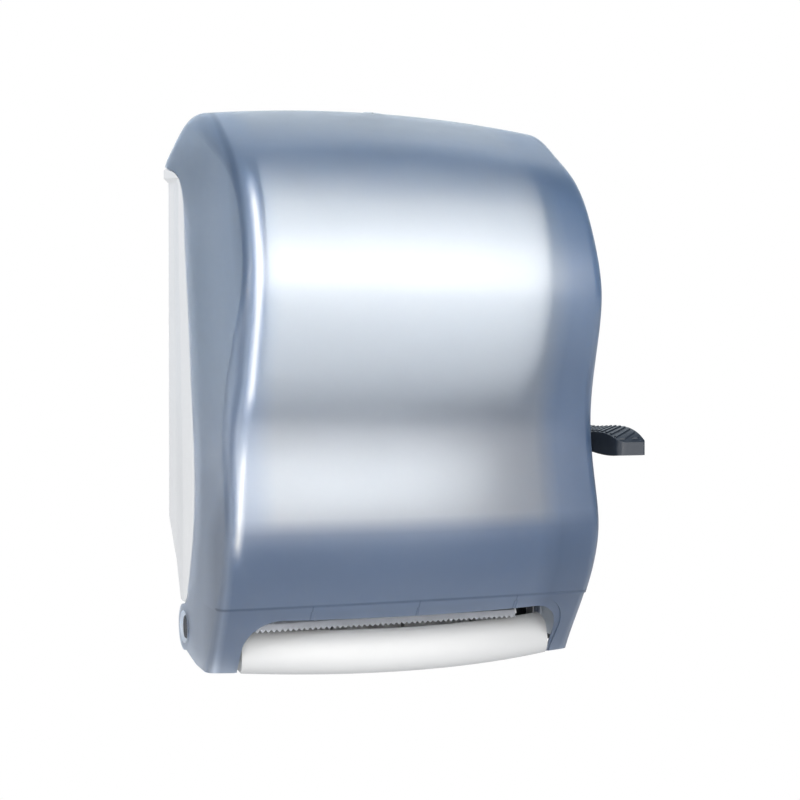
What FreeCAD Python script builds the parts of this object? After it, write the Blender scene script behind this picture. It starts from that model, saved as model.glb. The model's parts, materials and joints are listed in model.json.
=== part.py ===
"""Wall-mounted lever dispenser for roll towels.

X runs across the width (right-hand side positive), -Y comes forward from the wall and
Z is up.  Heights are written above the cover's bottom edge; every piece is then moved
down so that the centre of the four wall fixings is the origin.
"""
import FreeCAD, Part
import math
import os
from FreeCAD import Vector

# ---------------------------------------------------------------- driving dimensions (mm)
# overall form
HALF_WIDTH = 152.5            # cover, measured at the wall
COVER_WALL = 3.0
STEP_HEIGHT = 49.5            # step line across the lower front
STEP_DEPTH = 0.9
CREASE_RADIUS_TOP = 14.0      # rounding between side and top
CREASE_RADIUS_FRONT = 9.0     # rounding between side and front
PART_GAP = 0.9                # gap between the cover's rear edge and the housing
RUN = 0.05                    # radial running clearance of shafts and pins
SIDE_PLAY = 0.3               # end play beside moving pieces

# side outline of the skin, from the rear of the top to the lip:
# (distance from the wall, height, crown of the skin at mid width)
SKIN_OUTLINE = [(-5.0, 390.0, 8.0), (30.0, 402.5, 8.0), (62.0, 409.5, 8.5), (134.0, 381.0, 12.0),
                (183.0, 348.0, 15.0), (211.0, 305.0, 16.4), (219.0, 272.0, 16.4),
                (203.0, 225.0, 16.4), (188.0, 178.0, 16.4), (194.0, 135.0, 16.4),
                (200.0, 101.0, 16.4), (192.0, 75.0, 16.4), (157.0, 25.0, 16.4),
                (132.0, -10.0, 16.4)]
CROWN_HALF_WIDTH = 137.0
# side draft, as the narrowing per millimetre of depth: (height, draft)
SIDE_DRAFT = [(-20.0, 0.083), (150.0, 0.083), (225.0, 0.096), (300.0, 0.117), (440.0, 0.121)]
# rear edge of the cover's side: (distance from the wall, height)
PARTING_EDGE = [(4.0, 378.5), (27.0, 372.5), (44.0, 364.5), (54.5, 352.0), (61.5, 322.0),
                (77.0, 258.0), (90.0, 204.0), (103.0, 150.0), (103.5, 105.0), (91.0, 66.5),
                (70.0, 39.5)]

# hinge of the cover
HINGE_Y = -65.0
HINGE_Z = 20.5
HINGE_LOBE = 17.5
HINGE_PIN_R = 4.0
HINGE_HEAD_R = 9.0
HINGE_HEAD = 2.5
HINGE_SINK = 4.2              # depth of the recess around the pin's head
HINGE_SINK_R = 12.5
HINGE_BOSS = 9.0              # depth of the cover's boss, from its outer face
HINGE_EAR = 7.0               # thickness of the housing's ear

# towel outlet in the cover
OUTLET_TOP = 42.5
OUTLET_HALF_WIDTH = 118.0
OUTLET_SPLAY = 2.0            # widening towards the legs' ends
OUTLET_CORNER = 25.0
FLANGE_WIDTH = 6.5
FLANGE_DEPTH = 0.8
DIVIDERS = (-73.0, 0.0, 77.0)
DIVIDER_WIDTH = 2.0

# back housing
HOUSING_HALF = 146.5
HOUSING_WALL = 3.0
RIM_HEIGHT = 377.5
RIM_FACE = 7.0
RIM_SLOPE = 7.0
BACK_FOOT = 98.0              # where the back plate ends and the rear slope starts
LIP_REACH = 6.0               # how far the housing's lip tucks into the cover
LIP_GAP = 0.8
LIP_WALL = 2.5

# wall fixings
FIXING_HEIGHT = 225.0
FIXING_SPAN_X = 152.4
FIXING_SPAN_Z = 203.2
FIXING_R = 3.0
FIXING_SLOT = 12.0

# front chin
CHIN_HALF_WIDTH = 117.5
CHIN_FRONT = 177.0            # distance from the wall at mid width
CHIN_CROWN = 28.0
CHIN_HEIGHT = 29.5
CHIN_WALL = 2.5
CHIN_REACH = 27.0             # front to back
PAN_HEIGHT = 3.0
PAN_REAR = 98.0
FLOOR_FRONT = 112.0           # front end of the housing's floor, under the pan

# towels
ROLL_R = 93.0                 # a roll that is a little used
ROLL_LENGTH = 203.0
ROLL_X = -9.5                 # the paper runs left of centre, beside the gears
ROLL_Y = -113.0
ROLL_Z = 282.0
CORE_R = 20.0                 # bore of the roll's cardboard core
CORE_CARD = 1.2
PLUG_R = 17.8                 # over the ribs of the hubs
STUB_R = 51.0
STUB_Y = -58.0
STUB_Z = 132.0
CRADLE_PLAY = 1.5             # between the cradle's cheeks and the side plates

# side plates of the feed mechanism
PLATE = 3.0
LEFT_PLATE_X = -124.0         # outer face
RIGHT_PLATE_X = 96.0          # outer face
PLATE_FLANGE = 14.0

# lever and gears
LEVER_Y = -60.0
LEVER_Z = 150.0
LEVER_SHAFT_R = 6.0
BUSH_R = 9.0
BUSH_FLANGE = 1.7
GEAR_MODULE = 1.5
SECTOR_TEETH = 96
PINION_TEETH = 20
MESH_ANGLE = 53.4             # feed roller below the lever shaft, from the horizontal
LEVER_STROKE = 50.0
GEAR_WIDTH = 6.0
GEAR_X = 112.0
GEAR_CASE_X = 124.0
GEAR_CASE_WALL = 2.5

PAD_INNER_X = 154.0
PAD_WIDTH = 22.0
PAD_FRONT = 194.0
PAD_REAR = 106.0
PAD_THICK = 9.5
RIB_PITCH = 6.0
RIB_WIDTH = 2.4
RIB_RISE = 0.9
RIB_ANGLE = 35.0
LEVER_HUB_R = 14.0
LEVER_HUB_X = 148.5
LEVER_HUB = 15.0

# feed roller
FEED_SHAFT_R = 5.0
FEED_BUSH_R = 6.5
CLUTCH_R = 8.5
FEED_CORE_R = 16.0
FEED_R = 22.0
SLEEVE = 40.0
SLEEVE_PITCH = 50.0
SLEEVE_COUNT = 4
WHEEL_R = 24.0
WHEEL_WIDTH = 6.0

# pinch roller
PINCH_R = 10.0
PINCH_AXLE_R = 3.0
PINCH_ANGLE = 45.0            # below the horizontal, behind the feed roller
PINCH_GAP = 0.3
PINCH_PIVOT_Y = -66.0
PINCH_PIVOT_Z = 56.0
PINCH_LEFT = -110.5           # inner faces of the pinch frame's end arms
PINCH_RIGHT = 78.5
PINCH_ARM = 3.0

# roll arms
ARM = 6.0
ARM_ROOT = 52.0
ARM_TIP_R = 14.0
AXLE_R = 5.0
HUB_FLANGE_R = 24.0
HUB_FLANGE = 2.5
HUB_PLUG = 17.0
ARM_PIN_R = 3.0
ARM_PIN_Y = -14.0
ARM_PIN_OFFSET = 8.5          # from the roll's end to the sprung arm's pin
KNUCKLE_R = 7.0
KNUCKLE_TOP = 297.0
ARM_LOW = 258.5
EARS_Z = ((254.0, 258.0), (308.0, 312.0))

# tear bar
BAR_SHEET = 1.2
BAR_LEFT = -119.0
BAR_RIGHT = 86.0
BAR_TOOTH = 2.0
GUIDE_X = 77.5                # white clip that keeps the towel's edge in line
GUIDE_LEAN = 20.0
# section of the bar's front face: (distance from the wall, height)
BAR_SECTION = [(149.5, 46.0), (158.0, 36.0), (159.5, 31.0)]

# lock
LOCK_Y = -79.0
LOCK_TILT = 19.0
LOCK_R = 9.0
LOCK_LENGTH = 20.0
LOCK_SEAT = 8.5               # depth of the cover's seat around the barrel
LOCK_COLLAR = 2.0
CAM_REACH = 24.0
KEEPER_HALF = 14.0            # bracket behind which the cam's tip catches
KEEPER_FRONT = 55.0
KEEPER_SHELF = 384.6
KEEPER_HOOK = 398.0
KEEPER_BACK = 394.2           # top of its rear flange
HOOK_HALF = 5.0

COIL_STEPS = 12               # straight pieces of wire in one turn of a coil
WIRE_SIDES = 6

SCREW_R = 1.9
SCREW_HEAD_R = 3.6
SCREW_HEAD = 2.2
SCREW_GRIP = 2.4

# ---------------------------------------------------------------- worked out from them
GEAR_CENTRES = GEAR_MODULE * (SECTOR_TEETH + PINION_TEETH) / 2.0
FEED_Y = LEVER_Y - GEAR_CENTRES * math.cos(math.radians(MESH_ANGLE))
FEED_Z = LEVER_Z - GEAR_CENTRES * math.sin(math.radians(MESH_ANGLE))
PINCH_DISTANCE = FEED_R + PINCH_GAP + PINCH_R
PINCH_Y = FEED_Y + PINCH_DISTANCE * math.cos(math.radians(PINCH_ANGLE))
PINCH_Z = FEED_Z - PINCH_DISTANCE * math.sin(math.radians(PINCH_ANGLE))
ROLL_LEFT = ROLL_X - ROLL_LENGTH / 2.0
ROLL_RIGHT = ROLL_X + ROLL_LENGTH / 2.0
LEFT_INNER = LEFT_PLATE_X + PLATE
RIGHT_INNER = RIGHT_PLATE_X - PLATE
ARM_X = ROLL_RIGHT + ARM_PIN_OFFSET
FLANGE_SEAT = -HOUSING_WALL - PLATE
LEFT_ARM_SEAT = -HOUSING_WALL - 4.0
PLATE_SCREWS = [(x, FLANGE_SEAT, z) for z in (126.0, 170.0)
                for x in (LEFT_PLATE_X - PLATE_FLANGE / 2.0, RIGHT_PLATE_X + PLATE_FLANGE / 2.0)]
ARM_SCREWS = [(ROLL_LEFT + 8.0, LEFT_ARM_SEAT, z) for z in (ROLL_Z - 23.0, ROLL_Z + 23.0)]
CRADLE_SCREWS = [(x, FLANGE_SEAT, 134.0) for x in (ROLL_X - 40.0, ROLL_X + 40.0)]
KEEPER_SCREWS = [(x, FLANGE_SEAT, KEEPER_SHELF + PLATE + SCREW_HEAD_R + 0.2)
                 for x in (-KEEPER_HALF / 2.0, KEEPER_HALF / 2.0)]
BACK_SCREWS = PLATE_SCREWS + ARM_SCREWS + CRADLE_SCREWS + KEEPER_SCREWS
CASE_SCREWS = [(-118.0, 171.0), (-30.0, 108.0), (-36.0, 160.0)]
PAN_SCREWS_X = (-100.0, 0.0, 100.0)
PAN_SCREWS_Y = -(PAN_REAR + FLOOR_FRONT) / 2.0
PAN_TOP = PAN_HEIGHT + HOUSING_WALL + CHIN_WALL
ABOVE = 460.0                 # well past the top, for cutting tools
BEYOND = 320.0                # well past the front and the sides


# ---------------------------------------------------------------- general helpers
def save(name, shape):
    """Write one piece, with the centre of the wall fixings as its origin."""
    placed = shape.copy()
    placed.translate(Vector(0.0, 0.0, -FIXING_HEIGHT))
    placed.exportStep("parts/%s.step" % name)


def box(x0, x1, y0, y1, z0, z1):
    """Return a box between two corners."""
    return Part.makeBox(x1 - x0, y1 - y0, z1 - z0, Vector(x0, y0, z0))


def rod(x0, x1, y, z, radius):
    """Return a cylinder along X."""
    return Part.makeCylinder(radius, x1 - x0, Vector(x0, y, z), Vector(1, 0, 0))


def ring(x0, x1, y, z, outer, inner):
    """Return a tube along X."""
    return rod(x0, x1, y, z, outer).cut(rod(x0 - 1.0, x1 + 1.0, y, z, inner))


def slab(points, x0, x1):
    """Extrude a polygon given as (y, z) from x0 to x1."""
    wire = Part.makePolygon([Vector(x0, y, z) for y, z in points + points[:1]])
    return Part.Face(wire).extrude(Vector(x1 - x0, 0, 0))


def rounded(shape, radius, wanted):
    """Fillet the edges that the test picks."""
    edges = [edge for edge in shape.Edges if wanted(edge)]
    return shape.makeFillet(radius, edges) if edges else shape


def chamfered(shape, size, wanted):
    """Chamfer the edges that the test picks."""
    return shape.makeChamfer(size, [edge for edge in shape.Edges if wanted(edge)])


def along_x(edge):
    """Tell whether an edge runs along X."""
    bounds = edge.BoundBox
    return bounds.YLength < 0.01 and bounds.ZLength < 0.01


def along_y(edge):
    """Tell whether an edge runs along Y."""
    bounds = edge.BoundBox
    return bounds.XLength < 0.01 and bounds.ZLength < 0.01


def mirrored(shape):
    """Return the shape's mirror image across the middle plane."""
    return shape.mirror(Vector(0, 0, 0), Vector(1, 0, 0))


def both_sides(shape):
    """Return the shape joined with its mirror image."""
    return shape.fuse(mirrored(shape))


def polar(y, z, radius, degrees):
    """Return the (y, z) point at an angle, counted from +Y towards +Z."""
    turn = math.radians(degrees)
    return (y + radius * math.cos(turn), z + radius * math.sin(turn))


def spline(points):
    """Return a smooth edge through points."""
    curve = Part.BSplineCurve()
    curve.interpolate(points)
    return curve.toShape()


def shifted(points, distance):
    """Shift a line of (y, z) points sideways, to the left of its direction."""
    result = []
    for index, (y, z) in enumerate(points):
        before = points[max(index - 1, 0)]
        after = points[min(index + 1, len(points) - 1)]
        dy, dz = after[0] - before[0], after[1] - before[1]
        length = math.hypot(dy, dz)
        result.append((y - dz / length * distance, z + dy / length * distance))
    return result


def screw(x, y, z):
    """Return a pan-head screw driven towards the wall, its head seated at y."""
    head = Part.makeCylinder(SCREW_HEAD_R, SCREW_HEAD, Vector(x, y - SCREW_HEAD, z), Vector(0, 1, 0))
    head = chamfered(head, 0.8, lambda edge: edge.BoundBox.YMax < y - SCREW_HEAD / 2.0)
    shank = Part.makeCylinder(SCREW_R, SCREW_GRIP + PLATE, Vector(x, y, z), Vector(0, 1, 0))
    return head.fuse(shank)


def screw_hole(x, y, z):
    """Return the hole that a screw leaves."""
    return Part.makeCylinder(SCREW_R, SCREW_GRIP + PLATE, Vector(x, y, z), Vector(0, 1, 0))


# ---------------------------------------------------------------- outer form of the dispenser
def skin_body(inset):
    """Loft the crowned top and front, set in by a distance."""
    line = [(-depth, height) for depth, height, crown in SKIN_OUTLINE]
    stations = [-1.2, -0.8, -0.4, 0.0, 0.4, 0.8, 1.2]
    wires = []
    for station in stations:
        bulge = 1.0 - station * station
        points = []
        for (y, z), (ny, nz), (depth, height, crown) in zip(line, shifted(line, -1.0), SKIN_OUTLINE):
            out = crown * bulge - inset
            points.append(Vector(station * CROWN_HALF_WIDTH, y + (ny - y) * out, z + (nz - z) * out))
        x = station * CROWN_HALF_WIDTH
        rear = points[0].y
        low = points[-1].z
        corner = Vector(x, rear, low)
        wires.append(Part.Wire([spline(points), Part.LineSegment(points[-1], corner).toShape(),
                                Part.LineSegment(corner, points[0]).toShape()]))
    return Part.makeLoft(wires, True, False)


def side_limit(side, inset):
    """Return everything inside one drafted side face, set in by a distance."""
    back, front = -10.0, 260.0
    rear_points = [Vector(side * (HALF_WIDTH - inset - back * draft), -back, height)
                   for height, draft in SIDE_DRAFT]
    front_points = [Vector(side * (HALF_WIDTH - inset - front * draft), -front, height)
                    for height, draft in SIDE_DRAFT]
    face = Part.makeRuledSurface(spline(rear_points), spline(front_points))
    return face.extrude(Vector(-side * 2.0 * HALF_WIDTH, 0, 0))


def between_sides(shape, inset):
    """Trim a shape to the space between the two drafted side faces."""
    return shape.common(side_limit(1.0, inset)).common(side_limit(-1.0, inset))


def outer_form(inset):
    """Return the whole outer form, rounded along both creases and set in by a distance."""
    body = between_sides(skin_body(inset), inset)
    creases = [edge for edge in body.Edges
               if edge.BoundBox.YMin < -180.0 and edge.BoundBox.ZLength > 300.0]
    rounded_body = body
    for crease in creases:
        start_high = crease.valueAt(crease.FirstParameter).z > crease.valueAt(crease.LastParameter).z
        top, front = CREASE_RADIUS_TOP - inset, CREASE_RADIUS_FRONT - inset
        first, last = (top, front) if start_high else (front, top)
        match = min(rounded_body.Edges,
                    key=lambda edge: edge.CenterOfMass.sub(crease.CenterOfMass).Length)
        rounded_body = rounded_body.makeFillet(first, last, [match])
    return rounded_body.common(box(-BEYOND, BEYOND, -BEYOND, 0.0, 0.0, ABOVE))


def parting_line(gap):
    """Return the cover's rear edge as (y, z) points, moved towards the wall by a gap."""
    line = [(-depth, height) for depth, height in PARTING_EDGE]
    return shifted(line, gap)


def cover_region():
    """Return the space that the cover's sides take in side view."""
    line = parting_line(0.0)
    top, foot = line[0], line[-1]
    lobe_start = polar(HINGE_Y, HINGE_Z, HINGE_LOBE, 75.0)
    lobe_rear = polar(HINGE_Y, HINGE_Z, HINGE_LOBE, 0.0)
    lobe_end = polar(HINGE_Y, HINGE_Z, HINGE_LOBE, -115.0)
    corners = [lobe_end, (-105.0, 0.0), (-BEYOND, 0.0), (-BEYOND, ABOVE), (top[0], ABOVE), top]
    edges = [spline([Vector(-BEYOND, y, z) for y, z in line + [lobe_start]]),
             Part.Arc(Vector(-BEYOND, *lobe_start), Vector(-BEYOND, *lobe_rear),
                      Vector(-BEYOND, *lobe_end)).toShape()]
    for (y0, z0), (y1, z1) in zip(corners, corners[1:]):
        edges.append(Part.LineSegment(Vector(-BEYOND, y0, z0), Vector(-BEYOND, y1, z1)).toShape())
    return Part.Face(Part.Wire(edges)).extrude(Vector(2.0 * BEYOND, 0, 0))


def housing_region(gap, foot):
    """Return the space behind the parting line; foot lists its lower corners."""
    line = parting_line(gap)
    corners = [line[-1]] + foot + [(0.0, line[0][1]), line[0]]
    edges = [spline([Vector(-BEYOND, y, z) for y, z in line])]
    for (y0, z0), (y1, z1) in zip(corners, corners[1:]):
        edges.append(Part.LineSegment(Vector(-BEYOND, y0, z0), Vector(-BEYOND, y1, z1)).toShape())
    return Part.Face(Part.Wire(edges)).extrude(Vector(2.0 * BEYOND, 0, 0))


# ---------------------------------------------------------------- cover, hinge and lock
def outlet_cutter(grow):
    """Return the towel outlet as a tool through the front, grown all round by a distance."""
    top = OUTLET_TOP + grow
    half = OUTLET_HALF_WIDTH + grow
    foot = OUTLET_HALF_WIDTH + OUTLET_SPLAY + grow * 0.15
    radius = OUTLET_CORNER + grow * 0.5
    points = [Vector(-foot, -BEYOND, -5.0), Vector(-half, -BEYOND, top), Vector(half, -BEYOND, top),
              Vector(foot, -BEYOND, -5.0)]
    tool = Part.Face(Part.makePolygon(points + points[:1])).extrude(Vector(0, BEYOND - 100.0, 0))
    return rounded(tool, radius, lambda edge: along_y(edge) and edge.BoundBox.ZMin > top - 0.1)


def side_at(y, z):
    """Return the cover's half width at a depth and a height."""
    for (low, first), (high, last) in zip(SIDE_DRAFT, SIDE_DRAFT[1:]):
        if low <= z <= high:
            draft = first + (last - first) * (z - low) / (high - low)
    return HALF_WIDTH + y * draft


HINGE_FACE = side_at(HINGE_Y, HINGE_Z)
BOSS_END = HINGE_FACE - HINGE_BOSS
EAR_FACE = BOSS_END - SIDE_PLAY


def lock_frame(shape):
    """Move a shape modelled along Z, its top at the origin, to the lock's place."""
    placed = shape.copy()
    placed.rotate(Vector(0, 0, 0), Vector(1, 0, 0), LOCK_TILT)
    placed.translate(Vector(0.0, LOCK_Y, LOCK_Z))
    return placed


def front_cover(form, step_form, flange_form, inner_form):
    """Return the translucent cover: one shell with legs, outlet, flange and hinge bosses."""
    above = box(-BEYOND, BEYOND, -BEYOND, 0.0, STEP_HEIGHT, ABOVE)
    below = box(-BEYOND, BEYOND, -BEYOND, 0.0, 0.0, STEP_HEIGHT)
    shell = form.common(above).fuse(step_form.common(below)).cut(inner_form)
    shell = shell.common(cover_region())
    flange = step_form.cut(flange_form).common(below).common(outlet_cutter(FLANGE_WIDTH))
    for x in DIVIDERS:
        flange = flange.cut(box(x - DIVIDER_WIDTH / 2.0, x + DIVIDER_WIDTH / 2.0, -BEYOND, 0.0, 0.0, ABOVE))
    shell = shell.cut(flange).cut(outlet_cutter(0.0))
    boss = rod(BOSS_END, HINGE_FACE - COVER_WALL / 2.0, HINGE_Y, HINGE_Z, HINGE_LOBE - 1.5)
    shell = shell.fuse(both_sides(boss))
    sink = rod(HINGE_FACE - HINGE_SINK, HINGE_FACE + 5.0, HINGE_Y, HINGE_Z, HINGE_SINK_R)
    bore = rod(BOSS_END - 1.0, HINGE_FACE, HINGE_Y, HINGE_Z, HINGE_PIN_R + RUN)
    shell = shell.cut(both_sides(sink)).cut(both_sides(bore))
    seat = lock_frame(Part.makeCylinder(LOCK_R + 3.0, LOCK_SEAT - 1.5, Vector(0, 0, -LOCK_SEAT)))
    hole = lock_frame(Part.makeCylinder(LOCK_R + RUN, 40.0, Vector(0, 0, -20.0)))
    return shell.fuse(seat).cut(hole).removeSplitter()


def hinge_pin():
    """Return the right-hand hinge pin, its head in the cover's recess."""
    head_face = HINGE_FACE - HINGE_SINK + SIDE_PLAY
    head = rod(head_face, head_face + HINGE_HEAD, HINGE_Y, HINGE_Z, HINGE_HEAD_R)
    head = chamfered(head, 1.0, lambda edge: edge.BoundBox.XMin > head_face + HINGE_HEAD - 0.1)
    slot = box(head_face + HINGE_HEAD - 1.0, head_face + HINGE_HEAD + 1.0, HINGE_Y - 1.0, HINGE_Y + 1.0,
               HINGE_Z - 6.0, HINGE_Z + 6.0)
    return head.fuse(rod(EAR_FACE - HINGE_EAR, head_face, HINGE_Y, HINGE_Z, HINGE_PIN_R)).cut(slot)


def lock_barrel():
    """Return the lock's barrel, with a keyway and a square tail."""
    barrel = Part.makeCylinder(LOCK_R, LOCK_LENGTH, Vector(0, 0, -LOCK_LENGTH))
    barrel = chamfered(barrel, 0.8, lambda edge: edge.BoundBox.ZMin > -0.1)
    keyway = box(-1.0, 1.0, -5.5, 5.5, -6.0, 1.0)
    collar = Part.makeCylinder(LOCK_R + 2.5, LOCK_COLLAR, Vector(0, 0, -LOCK_SEAT - SIDE_PLAY - LOCK_COLLAR))
    tail = box(-3.0, 3.0, -3.0, 3.0, -LOCK_LENGTH - 3.0, -LOCK_LENGTH)
    return lock_frame(barrel.cut(keyway).fuse(collar).fuse(tail))


def lock_cam():
    """Return the latch cam under the barrel: a bar with a turned-down tip."""
    top = -LOCK_LENGTH
    bar = box(0.0, CAM_REACH + 3.0, -5.0, 5.0, top - 3.0, top)
    bar = bar.fuse(Part.makeCylinder(7.0, 3.0, Vector(0, 0, top - 3.0)))
    tip = box(CAM_REACH - 1.0, CAM_REACH + 3.0, -5.0, 5.0, top - 10.0, top - 3.0)
    return lock_frame(bar.fuse(tip).cut(box(-3.0, 3.0, -3.0, 3.0, top - 4.0, top + 1.0)))


def lock_keeper():
    """Return the bent bracket on the wall plate that the cam's tip catches behind."""
    bracket = slab([(-HOUSING_WALL, KEEPER_SHELF), (-HOUSING_WALL, KEEPER_BACK), (FLANGE_SEAT, KEEPER_BACK),
                    (FLANGE_SEAT, KEEPER_SHELF + PLATE), (-KEEPER_FRONT, KEEPER_SHELF + PLATE),
                    (-KEEPER_FRONT, KEEPER_SHELF)], -KEEPER_HALF, KEEPER_HALF)
    hook = box(-HOOK_HALF, HOOK_HALF, -KEEPER_FRONT, -KEEPER_FRONT + PLATE, KEEPER_SHELF, KEEPER_HOOK)
    bracket = bracket.fuse(hook)
    for x, y, z in KEEPER_SCREWS:
        bracket = bracket.cut(screw_hole(x, y, z))
    return bracket.removeSplitter()


# ---------------------------------------------------------------- back housing
def fixing_slots():
    """Return the four wall-fixing slots as tools."""
    tools = []
    run = FIXING_SLOT / 2.0 - FIXING_R
    for x in (-FIXING_SPAN_X / 2.0, FIXING_SPAN_X / 2.0):
        for z in (FIXING_HEIGHT - FIXING_SPAN_Z / 2.0, FIXING_HEIGHT + FIXING_SPAN_Z / 2.0):
            slot = box(x - run, x + run, -10.0, 5.0, z - FIXING_R, z + FIXING_R)
            for end in (x - run, x + run):
                slot = slot.fuse(Part.makeCylinder(FIXING_R, 15.0, Vector(end, -10.0, z), Vector(0, 1, 0)))
            tools.append(slot)
    return tools


def back_housing(lip_form, lip_inner):
    """Return the white housing: wall plate, side walls, top rim, rear slope and hinge ears."""
    slope_foot = (-82.0, PAN_HEIGHT)
    slope_knee = (-58.0, 30.5)
    edge_z = HINGE_Z + HINGE_LOBE + PART_GAP + 0.5
    edge_y = slope_knee[0] * (BACK_FOOT - edge_z) / (BACK_FOOT - slope_knee[1])
    foot = [(HINGE_Y + 5.0, edge_z), (edge_y, edge_z), (0.0, BACK_FOOT)]
    walls = housing_region(PART_GAP, foot)
    walls = walls.common(box(-HOUSING_HALF, HOUSING_HALF, -BEYOND, 0.0, 0.0, ABOVE))
    walls = between_sides(walls, 1.0)
    lip = housing_region(-LIP_REACH, foot).common(lip_form)
    rim_points = [(HOUSING_HALF - 1.0, RIM_HEIGHT), (HALF_WIDTH, RIM_HEIGHT),
                  (HALF_WIDTH, RIM_HEIGHT - RIM_FACE),
                  (HOUSING_HALF - 1.0, RIM_HEIGHT - RIM_FACE - RIM_SLOPE)]
    rim_wire = Part.makePolygon([Vector(x, 0.0, z) for x, z in rim_points + rim_points[:1]])
    rim = both_sides(Part.Face(rim_wire).extrude(Vector(0, -80.0, 0)))
    rim = between_sides(rim.common(housing_region(PART_GAP, foot)), 0.0)
    body = walls.fuse(lip).fuse(rim)
    wall = HOUSING_WALL
    cavity = slab([(-wall, RIM_HEIGHT - wall), (-BEYOND, RIM_HEIGHT - wall), (-BEYOND, 0.0), (-84.0, 0.0),
                   (slope_knee[0] + 1.0, slope_knee[1] + wall + 1.2), (-wall, BACK_FOOT + wall / 2.0)],
                  -HOUSING_HALF + wall + 0.5, HOUSING_HALF - wall - 0.5)
    body = body.cut(between_sides(cavity, COVER_WALL + LIP_GAP + LIP_WALL))
    head = lip_form.common(box(-BEYOND, BEYOND, -wall, 0.0, RIM_HEIGHT - 8.0, ABOVE))
    brow = lip_form.cut(lip_inner).common(box(-BEYOND, BEYOND, -16.0, 0.0, RIM_HEIGHT - 3.0, ABOVE))
    body = body.fuse(head).fuse(brow)
    width = EAR_FACE - 0.2
    slope = slab([slope_knee, slope_foot, (-FLOOR_FRONT, PAN_HEIGHT), (-FLOOR_FRONT, PAN_HEIGHT + wall),
                  (slope_foot[0] + 1.3, PAN_HEIGHT + wall), (slope_knee[0] + 1.0, slope_knee[1] + wall + 1.2),
                  (-wall, BACK_FOOT + wall / 2.0), (0.0, BACK_FOOT)], -width, width)
    ear = rod(EAR_FACE - HINGE_EAR, EAR_FACE, HINGE_Y, HINGE_Z, 13.0)
    web = slab([(HINGE_Y - 12.0, HINGE_Z + 5.0), (HINGE_Y - 20.0, 62.0), (HINGE_Y + 8.0, 66.0),
                (HINGE_Y + 13.0, HINGE_Z)], EAR_FACE - HINGE_EAR, EAR_FACE)
    ears = both_sides(ear.fuse(web).cut(rod(0.0, BEYOND, HINGE_Y, HINGE_Z, HINGE_PIN_R)))
    body = body.fuse(slope).fuse(ears)
    body = body.cut(both_sides(rod(EAR_FACE - HINGE_EAR - 1.0, EAR_FACE + 1.0, HINGE_Y, HINGE_Z, HINGE_PIN_R)))
    boss = rod(134.0, HOUSING_HALF - 1.0, LEVER_Y, LEVER_Z, BUSH_R + 4.0)
    body = body.fuse(boss).cut(rod(100.0, BEYOND, LEVER_Y, LEVER_Z, BUSH_R))
    for x in PAN_SCREWS_X:
        body = body.cut(Part.makeCylinder(SCREW_R, 8.0, Vector(x, PAN_SCREWS_Y, PAN_HEIGHT + 0.5)))
    for z0, z1 in EARS_Z:
        lug = box(ARM_X - 8.0, ARM_X + 8.0, ARM_PIN_Y, -1.0, z0, z1)
        lug = lug.fuse(Part.makeCylinder(8.0, z1 - z0, Vector(ARM_X, ARM_PIN_Y, z0)))
        body = body.fuse(lug)
    body = body.cut(Part.makeCylinder(ARM_PIN_R, 100.0, Vector(ARM_X, ARM_PIN_Y, EARS_Z[0][0] - 5.0)))
    for z in (200.0, 246.0, 345.0):
        body = body.fuse(box(-110.0, 80.0, -wall - 2.0, -wall + 0.5, z - 1.0, z + 1.0))
    for slot in fixing_slots():
        body = body.cut(slot)
    for x, y, z in BACK_SCREWS:
        body = body.cut(screw_hole(x, y, z).common(box(-BEYOND, BEYOND, -BEYOND, -0.4, 0.0, ABOVE)))
    return body


# ---------------------------------------------------------------- chin, tear bar and paper guide
def chin_section(x, half_width, wall):
    """Return one closed (y, z) section of the chin, set in by a wall."""
    share = x / half_width
    front = -(CHIN_FRONT - CHIN_CROWN * share * share) + wall
    rear = front + CHIN_REACH - 2.0 * wall
    low, high = wall * 0.0, CHIN_HEIGHT - wall
    nose = spline([Vector(x, front + 5.0, low), Vector(x, front + 0.6, 6.0), Vector(x, front + 1.5, 17.0),
                   Vector(x, front + 6.5, high - 4.5), Vector(x, front + 14.0, high)])
    corners = [Vector(x, front + 14.0, high), Vector(x, rear, high - 4.0), Vector(x, rear, low),
               Vector(x, front + 5.0, low)]
    edges = [nose]
    for start, end in zip(corners, corners[1:]):
        edges.append(Part.LineSegment(start, end).toShape())
    return Part.Wire(edges)


def front_chin():
    """Return the white chin under the outlet: a crowned bar, open below, on a floor pan."""
    half = CHIN_HALF_WIDTH
    stations = [-half, -half / 2.0, 0.0, half / 2.0, half]
    bar = Part.makeLoft([chin_section(x, half, 0.0) for x in stations], True, False)
    inner = half - CHIN_WALL
    stations = [-inner, -inner / 2.0, 0.0, inner / 2.0, inner]
    hollow = Part.makeLoft([chin_section(x, half, CHIN_WALL) for x in stations], True, False)
    ends = outlet_cutter(-1.0).common(box(-BEYOND, BEYOND, -BEYOND, -100.0, 0.0, 60.0))
    bar = bar.common(ends)
    pan = box(-half + 2.0, half - 2.0, -(CHIN_FRONT - CHIN_REACH) + 0.5, -PAN_REAR, PAN_TOP - CHIN_WALL, PAN_TOP)
    chin = bar.cut(hollow).fuse(pan)
    for x in (-90.0, -45.0, 0.0, 45.0, 90.0):
        chin = chin.fuse(bar.common(box(x - 1.0, x + 1.0, -BEYOND, 0.0, 4.0, ABOVE)))
    for x in PAN_SCREWS_X:
        chin = chin.cut(Part.makeCylinder(SCREW_R, 20.0, Vector(x, PAN_SCREWS_Y, 0.0)))
    return chin.removeSplitter()


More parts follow.
